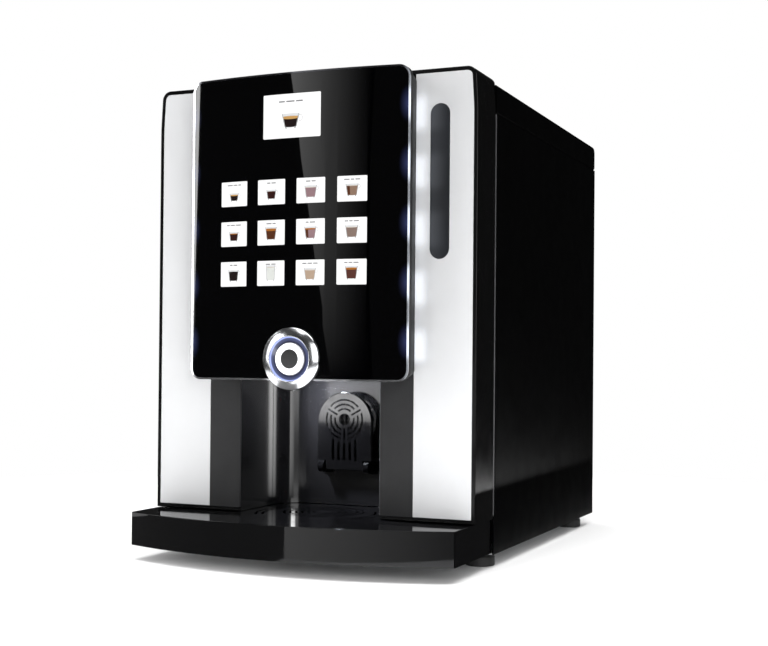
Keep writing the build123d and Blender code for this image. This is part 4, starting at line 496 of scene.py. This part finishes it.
# --- mesh helpers ---------------------------------------------------------------------
def piece(name, parts, body):
    """A mesh piece from (vertices, faces, surface) parts, riding on a body."""
    mesh = bpy.data.meshes.new(name)
    vertices, faces, picks, surfaces = [], [], [], []
    for part_vertices, part_faces, surface in parts:
        if surface not in surfaces:
            surfaces.append(surface)
            mesh.materials.append(surface.material)
        start = len(vertices)
        vertices += part_vertices
        faces += [[start + i for i in face] for face in part_faces]
        picks += [surfaces.index(surface)] * len(part_faces)
    mesh.from_pydata(vertices, [], faces)
    mesh.polygons.foreach_set("material_index", picks)
    mesh.update()
    thing = bpy.data.objects.new(name, mesh)
    bpy.context.scene.collection.objects.link(thing)
    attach(thing, body)
    return thing


def smooth(thing):
    for polygon in thing.data.polygons:
        polygon.use_smooth = True
    return thing


def glass_y(x):
    """Front of the bowed display at x."""
    return GLASS_FRONT + BOW_RADIUS - math.sqrt(BOW_RADIUS ** 2 - x ** 2)


def inlay(outline, layer, surface):
    """A thin printed layer on the bowed display: outline points are (x, z)."""
    count = len(outline)
    lift = LAYER * (layer + 1)
    front = [(x, glass_y(x) - lift, z) for x, z in outline]
    back = [(x, glass_y(x) - lift + LAYER * 0.8, z) for x, z in outline]
    faces = [list(range(count)), list(range(2 * count - 1, count - 1, -1))]
    for i in range(count):
        j = (i + 1) % count
        faces.append([i, i + count, j + count, j])
    return (front + back, faces, surface)


# --- pictures on the drink keys and the screen -----------------------------------------
def ink(name, colour):
    """Printed colour seen on a back-lit window."""
    s = Surface(name, tuple(0.25 * c for c in colour), 0.2, Specular_IOR_Level=0.1)
    s.mottled(0.10, 260)
    level = s.ranged(s.noise(120, 2.0), 0.2, 0.8, 0.55, 0.65)
    s.glow(level, colour)
    return s


COFFEE_BLACK = ink("coffee_black", (0.018, 0.011, 0.011))
COFFEE_DARK = ink("coffee_dark", (0.040, 0.014, 0.012))
COFFEE_BROWN = ink("coffee_brown", (0.11, 0.038, 0.018))
COFFEE_RED = ink("coffee_red", (0.12, 0.045, 0.035))
COFFEE_MILKY = ink("coffee_milky", (0.34, 0.22, 0.155))
COFFEE_GREY = ink("coffee_grey", (0.30, 0.215, 0.18))
COFFEE_PALE = ink("coffee_pale", (0.58, 0.43, 0.32))
CHOCOLATE_ROSE = ink("chocolate_rose", (0.38, 0.24, 0.26))
CREMA = ink("crema", (0.52, 0.19, 0.04))
CREMA_GOLD = ink("crema_gold", (0.75, 0.42, 0.14))
FROTH = ink("froth", (0.78, 0.70, 0.62))
MILK_WHITE = ink("milk_white", (0.90, 0.92, 0.88))
CUP_EDGE = ink("cup_edge", (0.16, 0.16, 0.17))
CUP_TINT = ink("cup_tint", (0.92, 0.93, 0.94))
CUP_LINE = ink("cup_line", (0.50, 0.50, 0.51))
CAPTION_GREY = ink("caption_grey", (0.30, 0.30, 0.31))

# sizes in picture millimetres; left is the ink of the drink's left part, if it differs
Drink = namedtuple("Drink", "top_half bottom_half height ink crema crema_height left",
                   defaults=(None,))
DRINKS = [                        # by column, each from the top down
    [Drink(5.0, 3.9, 6.0, COFFEE_BLACK, CREMA_GOLD, 0.9),
     Drink(5.2, 4.2, 7.4, COFFEE_DARK, CREMA, 0.6),
     Drink(5.8, 4.7, 9.4, COFFEE_BLACK, COFFEE_BLACK, 0.5)],
    [Drink(5.2, 4.1, 7.4, COFFEE_DARK, COFFEE_BROWN, 0.5),
     Drink(6.2, 4.7, 11.0, COFFEE_BROWN, CREMA, 2.2),
     Drink(4.8, 4.4, 13.6, MILK_WHITE, FROTH, 0.5)],
    [Drink(6.3, 4.8, 10.0, CHOCOLATE_ROSE, FROTH, 0.4),
     Drink(6.2, 4.7, 10.0, CHOCOLATE_ROSE, CREMA, 1.2, COFFEE_BROWN),
     Drink(6.1, 4.6, 9.6, COFFEE_PALE, FROTH, 0.5)],
    [Drink(6.3, 4.8, 10.0, COFFEE_MILKY, FROTH, 0.4, COFFEE_BROWN),
     Drink(6.3, 4.8, 10.0, COFFEE_GREY, FROTH, 0.4),
     Drink(6.2, 4.8, 11.0, COFFEE_RED, CREMA, 1.8)],
]
SCREEN_DRINK = Drink(5.4, 3.9, 6.6, COFFEE_BLACK, CREMA_GOLD, 1.5)
CUP_RIM = 1.8                     # glass above the drink
CUP_WALL = 0.55                   # glass beside the drink
CUP_FOOT = 0.4                    # glass below the drink
LEG_TOP, LEG_BOTTOM = -0.2, -1.3
HANDLE_RADIUS, HANDLE_WIDTH, HANDLE_OFFSET, HANDLE_DROP = 2.1, 0.30, 0.7, 3.0
BAND_STEPS = 8


def ring_arc(cx, cz, radius, width, start, end, steps=10):
    """Outline of a curved strip, as points (x, z), from start to end in degrees."""
    def edge(reach):
        points = []
        for i in range(steps + 1):
            a = math.radians(start + (end - start) * i / steps)
            points.append((cx + reach * math.cos(a), cz + reach * math.sin(a)))
        return points

    return edge(radius + width / 2) + edge(radius - width / 2)[::-1]


def cup_picture(cx, cz, drink, scale, base_drop):
    """Layers of one cup: tinted glass, drink, crema, shaded sides, legs and handle."""
    mm = MM * scale
    base = cz - base_drop * scale
    spread = (drink.top_half - drink.bottom_half) / drink.height
    layers = []

    def half(above):
        """Half width of the drink at a height above the cup's base."""
        return (drink.bottom_half + spread * above) * mm

    def band(low, high, inset, sag, layer, surface, start=-1.0, end=1.0):
        """A band of the picture between two heights, over part of its width."""
        low_half, high_half = half(low) - inset * mm, half(high) - inset * mm
        along = [start + (end - start) * i / BAND_STEPS for i in range(BAND_STEPS + 1)]
        back = [end + (start - end) * i / BAND_STEPS for i in range(BAND_STEPS + 1)]
        outline = [(cx + low_half * s, base + low * mm - sag * mm * (1 - s * s)) for s in along]
        outline += [(cx + high_half * s, base + high * mm + 0.5 * sag * mm * (1 - s * s))
                    for s in back]
        layers.append(inlay(outline, layer, surface))

    top = drink.height
    rim = top + CUP_RIM
    band(-CUP_FOOT, rim, -CUP_WALL, 0.3, 0, CUP_TINT)
    band(0.0, top, 0.0, 0.4, 1, drink.ink)
    if drink.left is not None:
        band(0.2, top - 0.4, 0.3, 0.3, 2, drink.left, -1.0, -0.45)
    band(top - drink.crema_height, top, 0.1, 0.3, 3, drink.crema)
    for start, end in ((-1.0, -0.955), (0.955, 1.0)):
        band(0.2, rim, -0.5, 0.0, 4, CUP_EDGE, start, end)
    for start, end in ((-0.97, -0.80), (0.80, 0.97)):
        band(LEG_BOTTOM, LEG_TOP, 0.0, 0.0, 4, CUP_EDGE, start, end)
    handle = ring_arc(cx + half(rim) + HANDLE_OFFSET * mm, base + (rim - HANDLE_DROP) * mm,
                      HANDLE_RADIUS * mm, HANDLE_WIDTH * mm, -100, 100)
    layers.append(inlay(handle, 4, CUP_LINE))
    return layers


def caption_dashes(cx, z, widths, thickness):
    """A row of plain dashes where a caption would be."""
    gap = thickness * 1.2
    x = cx - (sum(widths) + gap * (len(widths) - 1)) / 2
    layers = []
    for width in widths:
        outline = [(x, z), (x + width, z), (x + width, z + thickness), (x, z + thickness)]
        layers.append(inlay(outline, 0, CAPTION_GREY))
        x += width + gap
    return layers


def drink_pictures():
    """A cup and a row of dashes on each drink key."""
    scale, base_drop = 1.05, 0.0068
    caption_lift, caption_thickness = 0.0096, 0.0012
    dash_shortest, dash_longest = 0.0034, 0.0072
    pitch_x = (KEYS_HIGH.x - KEYS_LOW.x - KEY_SIZE[0]) / (KEY_COLUMNS - 1)
    pitch_z = (KEYS_HIGH.z - KEYS_LOW.z - KEY_SIZE[1]) / (KEY_ROWS - 1)
    for column in range(KEY_COLUMNS):
        for row in range(KEY_ROWS):
            cx = KEYS_LOW.x + KEY_SIZE[0] / 2 + column * pitch_x
            cz = KEYS_HIGH.z - KEY_SIZE[1] / 2 - row * pitch_z
            layers = cup_picture(cx, cz, DRINKS[column][row], scale, base_drop)
            dashes = [random.uniform(dash_shortest, dash_longest)
                      for _ in range(random.choice((2, 3, 3)))]
            layers += caption_dashes(cx, cz + caption_lift, dashes, caption_thickness)
            piece(f"drink_picture_{column + 1}_{row + 1}", layers, "door")


def screen_picture():
    """A larger cup and caption on the screen."""
    cx = (SCREEN_LOW.x + SCREEN_HIGH.x) / 2 - 0.001
    cz = (SCREEN_LOW.z + SCREEN_HIGH.z) / 2
    scale, base_drop = 1.75, 0.0070
    caption_lift, caption_thickness = 0.0155, 0.0016
    layers = cup_picture(cx, cz, SCREEN_DRINK, scale, base_drop)
    layers += caption_dashes(cx, cz + caption_lift, [0.0075, 0.0105, 0.0085], caption_thickness)
    piece("screen_picture", layers, "door")


# --- things seen when the lid or the door is open ----------------------------------------
def heap(name, low, high, surface, swell, seed):
    """A heap of powder that fills a box up to an uneven top."""
    steps = 16
    side = steps + 1
    generator = random.Random(seed)
    phase = [generator.uniform(0, 6.28) for _ in range(3)]
    vertices = []
    for j in range(side):
        for i in range(side):
            u, v = i / steps, j / steps
            dome = math.sin(math.pi * u) * math.sin(math.pi * v)
            ripple = math.sin(9 * u + phase[0]) * math.cos(7 * v + phase[1])
            ripple += 0.5 * math.sin(17 * u + 13 * v + phase[2])
            z = high.z - swell + swell * (0.6 * dome + 0.15 * ripple)
            vertices.append((low.x + u * (high.x - low.x), low.y + v * (high.y - low.y), z))
    top_count = len(vertices)
    faces = []
    for j in range(steps):
        for i in range(steps):
            a = j * side + i
            faces.append([a, a + 1, a + 1 + side, a + side])
    front = [i for i in range(side)]
    right = [j * side + steps for j in range(1, side)]
    back = [steps * side + i for i in range(steps - 1, -1, -1)]
    left = [j * side for j in range(steps - 1, 0, -1)]
    rim = front + right + back + left
    for index in rim:
        x, y, _ = vertices[index]
        vertices.append((x, y, low.z))
    for k in range(len(rim)):
        after = (k + 1) % len(rim)
        faces.append([rim[k], top_count + k, top_count + after, rim[after]])
    faces.append([top_count + k for k in range(len(rim))][::-1])
    return smooth(piece(name, [(vertices, faces, surface)], "cabinet"))


def powder(name, colour):
    return Surface(name, colour, 0.9).mottled(0.12, 300).grained(0.8, 900, distance=0.0008)


def bean_mesh(centre, turn, surface, rings=5, around=8):
    """A coffee bean: an ellipsoid with a crease along its upper side."""
    length, width, height = 0.0052, 0.0038, 0.0026
    crease_half, crease_depth = 0.2, 0.45
    vertices = [turn @ Vector((length, 0, 0)) + centre]
    for ring in range(1, rings):
        a = math.pi * ring / rings
        for k in range(around):
            b = 2 * math.pi * k / around
            y = width * math.sin(a) * math.cos(b)
            z = height * math.sin(a) * math.sin(b)
            if abs(y) < width * crease_half and z > 0:
                z *= crease_depth
            vertices.append(turn @ Vector((length * math.cos(a), y, z)) + centre)
    vertices.append(turn @ Vector((-length, 0, 0)) + centre)
    faces = []
    for k in range(around):
        after = (k + 1) % around
        faces.append([0, 1 + k, 1 + after])
        for ring in range(rings - 2):
            a = 1 + ring * around
            faces.append([a + k, a + around + k, a + around + after, a + after])
        last = 1 + (rings - 2) * around
        faces.append([last + k, len(vertices) - 1, last + after])
    return ([tuple(v) for v in vertices], faces, surface)


def coffee_beans():
    """A loose layer of beans over a heap in the hopper."""
    surface = Surface("roasted_bean", (0.045, 0.018, 0.008), 0.38,
                      Coat_Weight=0.2, Coat_Roughness=0.3)
    surface.mottled(0.5, 150).grained(0.2, 900)
    wall, floor, below_rim = 0.006, 0.049, 0.030
    bean_count, margin, swell, looseness = 900, 0.006, 0.012, 0.003
    low = HOPPER_LOW + Vector((wall, wall, floor))
    high = HOPPER_HIGH - Vector((wall, wall, below_rim))
    heap("bean_heap", low, high, surface, swell, 3)
    generator = random.Random(11)
    parts = []
    for _ in range(bean_count):
        x = generator.uniform(low.x + margin, high.x - margin)
        y = generator.uniform(low.y + margin, high.y - margin)
        u = (x - low.x) / (high.x - low.x)
        v = (y - low.y) / (high.y - low.y)
        dome = 0.6 * swell * math.sin(math.pi * u) * math.sin(math.pi * v)
        z = high.z - swell + dome + generator.uniform(0, looseness)
        heading = Matrix.Rotation(generator.uniform(0, 6.28), 3, "Z")
        tilt = Matrix.Rotation(generator.uniform(-0.6, 0.6), 3, "X")
        parts.append(bean_mesh(Vector((x, y, z)), heading @ tilt, surface))
    smooth(piece("coffee_beans", parts, "cabinet"))


def canister_fill():
    """Powder in the two canisters."""
    wall, front, depth, below_rim = 0.004, 0.036, 0.080, 0.024
    fills = (("milk_canister", (0.80, 0.76, 0.66), 5),
             ("chocolate_canister", (0.16, 0.07, 0.035), 8))
    for node, colour, seed in fills:
        low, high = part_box(node)
        inside_low = Vector((low.x + wall, low.y + front, high.z - depth))
        inside_high = Vector((high.x - wall, high.y - wall, high.z - below_rim))
        heap(node.replace("canister", "powder"), inside_low, inside_high,
             powder(node + "_powder", colour), 0.014, seed)


# --- studio ---------------------------------------------------------------------------
def studio_floor():
    """Plain pale floor that runs out into the white backdrop."""
    fade_start, fade_end, half_size = 0.75, 1.15, 1.2
    s = Surface("studio_floor", (0.86, 0.86, 0.86), 0.45, Specular_IOR_Level=0.05)
    s.mottled(0.004, 3)
    axes = s.axes()
    across = s.math("POWER", axes["X"], 2)
    along = s.math("POWER", axes["Y"], 2)
    reach = s.math("SQRT", s.math("ADD", across, along))
    opacity = s.ranged(reach, fade_start, fade_end, 1.0, 0.0, smooth=True)
    s.links.new(opacity, s.shader.inputs["Alpha"])
    corners = [(-half_size, -half_size, 0), (half_size, -half_size, 0),
               (half_size, half_size, 0), (-half_size, half_size, 0)]
    mesh = bpy.data.meshes.new("floor")
    mesh.from_pydata(corners, [], [[0, 1, 2, 3]])
    mesh.materials.append(s.material)
    floor = bpy.data.objects.new("floor", mesh)
    bpy.context.scene.collection.objects.link(floor)
    return floor


def area_light(name, place, target, width, height, power, colour=(1, 1, 1)):
    """A rectangular lamp at a place, facing a target; its power is in watts."""
    light = bpy.data.lights.new(name, "AREA")
    light.shape = "RECTANGLE"
    light.size = width
    light.size_y = height
    light.energy = power
    light.color = colour
    lamp = bpy.data.objects.new(name, light)
    bpy.context.scene.collection.objects.link(lamp)
    lamp.location = place
    lamp.visible_camera = False
    lamp.rotation_euler = (Vector(target) - Vector(place)).to_track_quat("-Z", "Y").to_euler()
    return lamp


def reflector(name, corners, radiance, fade_power, rise_power):
    """A card seen only in gloss: brightest at its upper left, fading right and down.

    Corners run lower left, lower right, upper right, upper left.
    """
    rows = 12
    low_left, low_right, high_right, high_left = (Vector(c) for c in corners)
    vertices, faces, places = [], [], []
    for j in range(rows + 1):
        v = j / rows
        left, right = low_left.lerp(high_left, v), low_right.lerp(high_right, v)
        for i in range(rows + 1):
            vertices.append(tuple(left.lerp(right, i / rows)))
            places.append((i / rows, v))
    side = rows + 1
    for j in range(rows):
        for i in range(rows):
            a = j * side + i
            faces.append([a, a + side, a + side + 1, a + 1])
    mesh = bpy.data.meshes.new(name)
    mesh.from_pydata(vertices, [], faces)
    layer = mesh.uv_layers.new(name="fade")
    for loop in mesh.loops:
        layer.data[loop.index].uv = places[loop.vertex_index]
    s = Surface(name, (0, 0, 0), 1.0, Specular_IOR_Level=0.0)
    split = s.nodes.new("ShaderNodeSeparateXYZ")
    s.links.new(s.nodes.new("ShaderNodeTexCoord").outputs["UV"], split.inputs["Vector"])
    fade = s.math("POWER", s.math("SUBTRACT", 1.0, split.outputs["X"]), fade_power)
    rise = s.math("POWER", split.outputs["Y"], rise_power)
    s.glow(s.math("MULTIPLY", s.math("MULTIPLY", fade, rise), radiance), (1.0, 1.0, 1.0))
    mesh.materials.append(s.material)
    card = bpy.data.objects.new(name, mesh)
    bpy.context.scene.collection.objects.link(card)
    card.visible_camera = False
    card.visible_diffuse = False
    card.visible_shadow = False


def upright_card(name, start, end, foot, top, radiance, fade_power=0.01, rise_power=0.01):
    """A reflector standing between two heights, from one point (x, y) to another."""
    reflector(name, [(*start, foot), (*end, foot), (*end, top), (*start, top)],
              radiance, fade_power, rise_power)


def reflectors():
    """Cards that give the glossy parts their bright and dark reflections."""
    far_y = -2.5                  # where the large cards stand
    near_y = -0.42                # just in front of the base
    split_x = -0.034              # between the base's dark and light halves
    left_x, right_x = -0.235, 0.225       # just beside the machine
    base_top = 0.046
    dim = 0.22
    reflector("display_card", [(-0.80, far_y, 0.18), (-0.42, far_y, 0.18),
                               (-0.42, far_y, 1.25), (-1.295, far_y, 1.25)], 1.45, 1.5, 0.9)
    upright_card("base_card", (split_x + 0.001, near_y), (0.33, near_y), 0.0, base_top, 2.1, 0.9)
    upright_card("base_flag", (-0.9, near_y), (split_x, near_y), 0.0, base_top, dim)
    reflector("ground_flag", [(left_x, near_y, 0.0015), (split_x, near_y, 0.0015),
                              (split_x, -0.20, 0.0015), (left_x, -0.20, 0.0015)],
              dim, 0.01, 0.01)
    upright_card("side_flag", (right_x, -0.30), (right_x, 0.9), 0.0, 0.085, 0.03)
    upright_card("left_flag", (left_x, -0.20), (left_x, -0.62), 0.0, base_top, dim)
    upright_card("shelf_flag", (-0.20, near_y), (-0.09, near_y), 0.048, 0.1465, 0.02)
    upright_card("bay_strip", (-0.0765, -0.1045), (-0.0705, -0.1045), 0.062, 0.232, 6.0, 0.2, 0.5)
    upright_card("shelf_card", (-1.5, far_y), (-0.6, far_y), 0.042, 0.165, 10.0, 0.5)


def studio_lights(floor):
    """Softboxes for the machine, small lamps in its cup bay, and washes for the floor."""
    cool, pale_cool = (0.85, 0.91, 1.0), (0.92, 0.94, 1.0)
    area_light("top_softbox", (0.1, -0.15, 2.3), (0, 0, 0.2), 2.2, 2.2, 66)
    area_light("left_softbox", (-2.1, -1.35, 0.95), (-0.1, -0.2, 0.3), 1.0, 1.7, 29)
    area_light("right_softbox", (1.61, -1.98, 0.82), (0.0, -0.2, 0.2), 1.4, 1.6, 27)
    area_light("bay_lamp", (-0.02, -0.128, 0.2335), (0.03, -0.108, 0.12), 0.03, 0.012, 0.5, cool)
    bay_fill = area_light("bay_fill", (-0.074, -0.17, 0.19), (0.03, -0.17, 0.19),
                          0.02, 0.03, 6, pale_cool)
    bay_fill.visible_glossy = False
    washes = [area_light("floor_wash_top", (0, -0.3, 3.0), (0, -0.3, 0), 5.0, 4.0, 140),
              area_light("floor_wash_front", (0.2, -2.6, 0.62), (0, -0.2, 0), 3.6, 1.2, 62),
              area_light("floor_wash_right", (2.6, 0.2, 0.62), (0, 0.0, 0), 3.0, 1.2, 5),
              area_light("floor_wash_left", (-2.6, 0.0, 0.62), (0, 0.0, 0), 3.0, 1.2, 14)]
    only_floor = bpy.data.collections.new("only_floor")
    only_floor.objects.link(floor)
    only_floor.collection_objects[0].light_linking.link_state = "INCLUDE"
    for wash in washes:
        wash.light_linking.receiver_collection = only_floor


def backdrop():
    """White behind the machine, nearly dark for the light that falls on it."""
    seen_strength, unseen_strength = 1.0, 0.02
    world = bpy.data.worlds.new("studio")
    bpy.context.scene.world = world
    world.use_nodes = True
    tree = world.node_tree
    seen = tree.nodes.new("ShaderNodeLightPath").outputs["Is Camera Ray"]
    strength = tree.nodes.new("ShaderNodeMapRange")
    strength.inputs["To Min"].default_value = unseen_strength
    strength.inputs["To Max"].default_value = seen_strength
    tree.links.new(seen, strength.inputs["Value"])
    tree.links.new(strength.outputs["Result"], tree.nodes["Background"].inputs["Strength"])
    tree.nodes["Background"].inputs["Color"].default_value = (1, 1, 1, 1)


def camera():
    """The photograph's viewpoint: place, heading (yaw, pitch, roll), lens and shift."""
    data = bpy.data.cameras.new("camera")
    data.sensor_width = 36.0
    data.lens = 58.24
    data.shift_x = -0.061
    data.shift_y = 0.035
    eye = bpy.data.objects.new("camera", data)
    bpy.context.scene.collection.objects.link(eye)
    place = Vector((0.6657, -1.4833, 0.2332))
    yaw, pitch, roll = 0.383, 0.0104, 0.0083
    level = math.cos(pitch)
    ahead = Vector((-math.sin(yaw) * level, math.cos(yaw) * level, math.sin(pitch)))
    right = Vector((math.cos(yaw), math.sin(yaw), 0))
    up = right.cross(ahead)
    rolled_right = right * math.cos(roll) + up * math.sin(roll)
    rolled_up = up * math.cos(roll) - right * math.sin(roll)
    turn = Matrix((rolled_right, rolled_up, -ahead)).transposed()
    eye.matrix_world = Matrix.Translation(place) @ turn.to_4x4()
    bpy.context.scene.camera = eye


camera()
dress_cad_nodes()
drink_pictures()
screen_picture()
coffee_beans()
canister_fill()
reflectors()
studio_lights(studio_floor())
backdrop()
bpy.context.scene.view_settings.view_transform = "Standard"
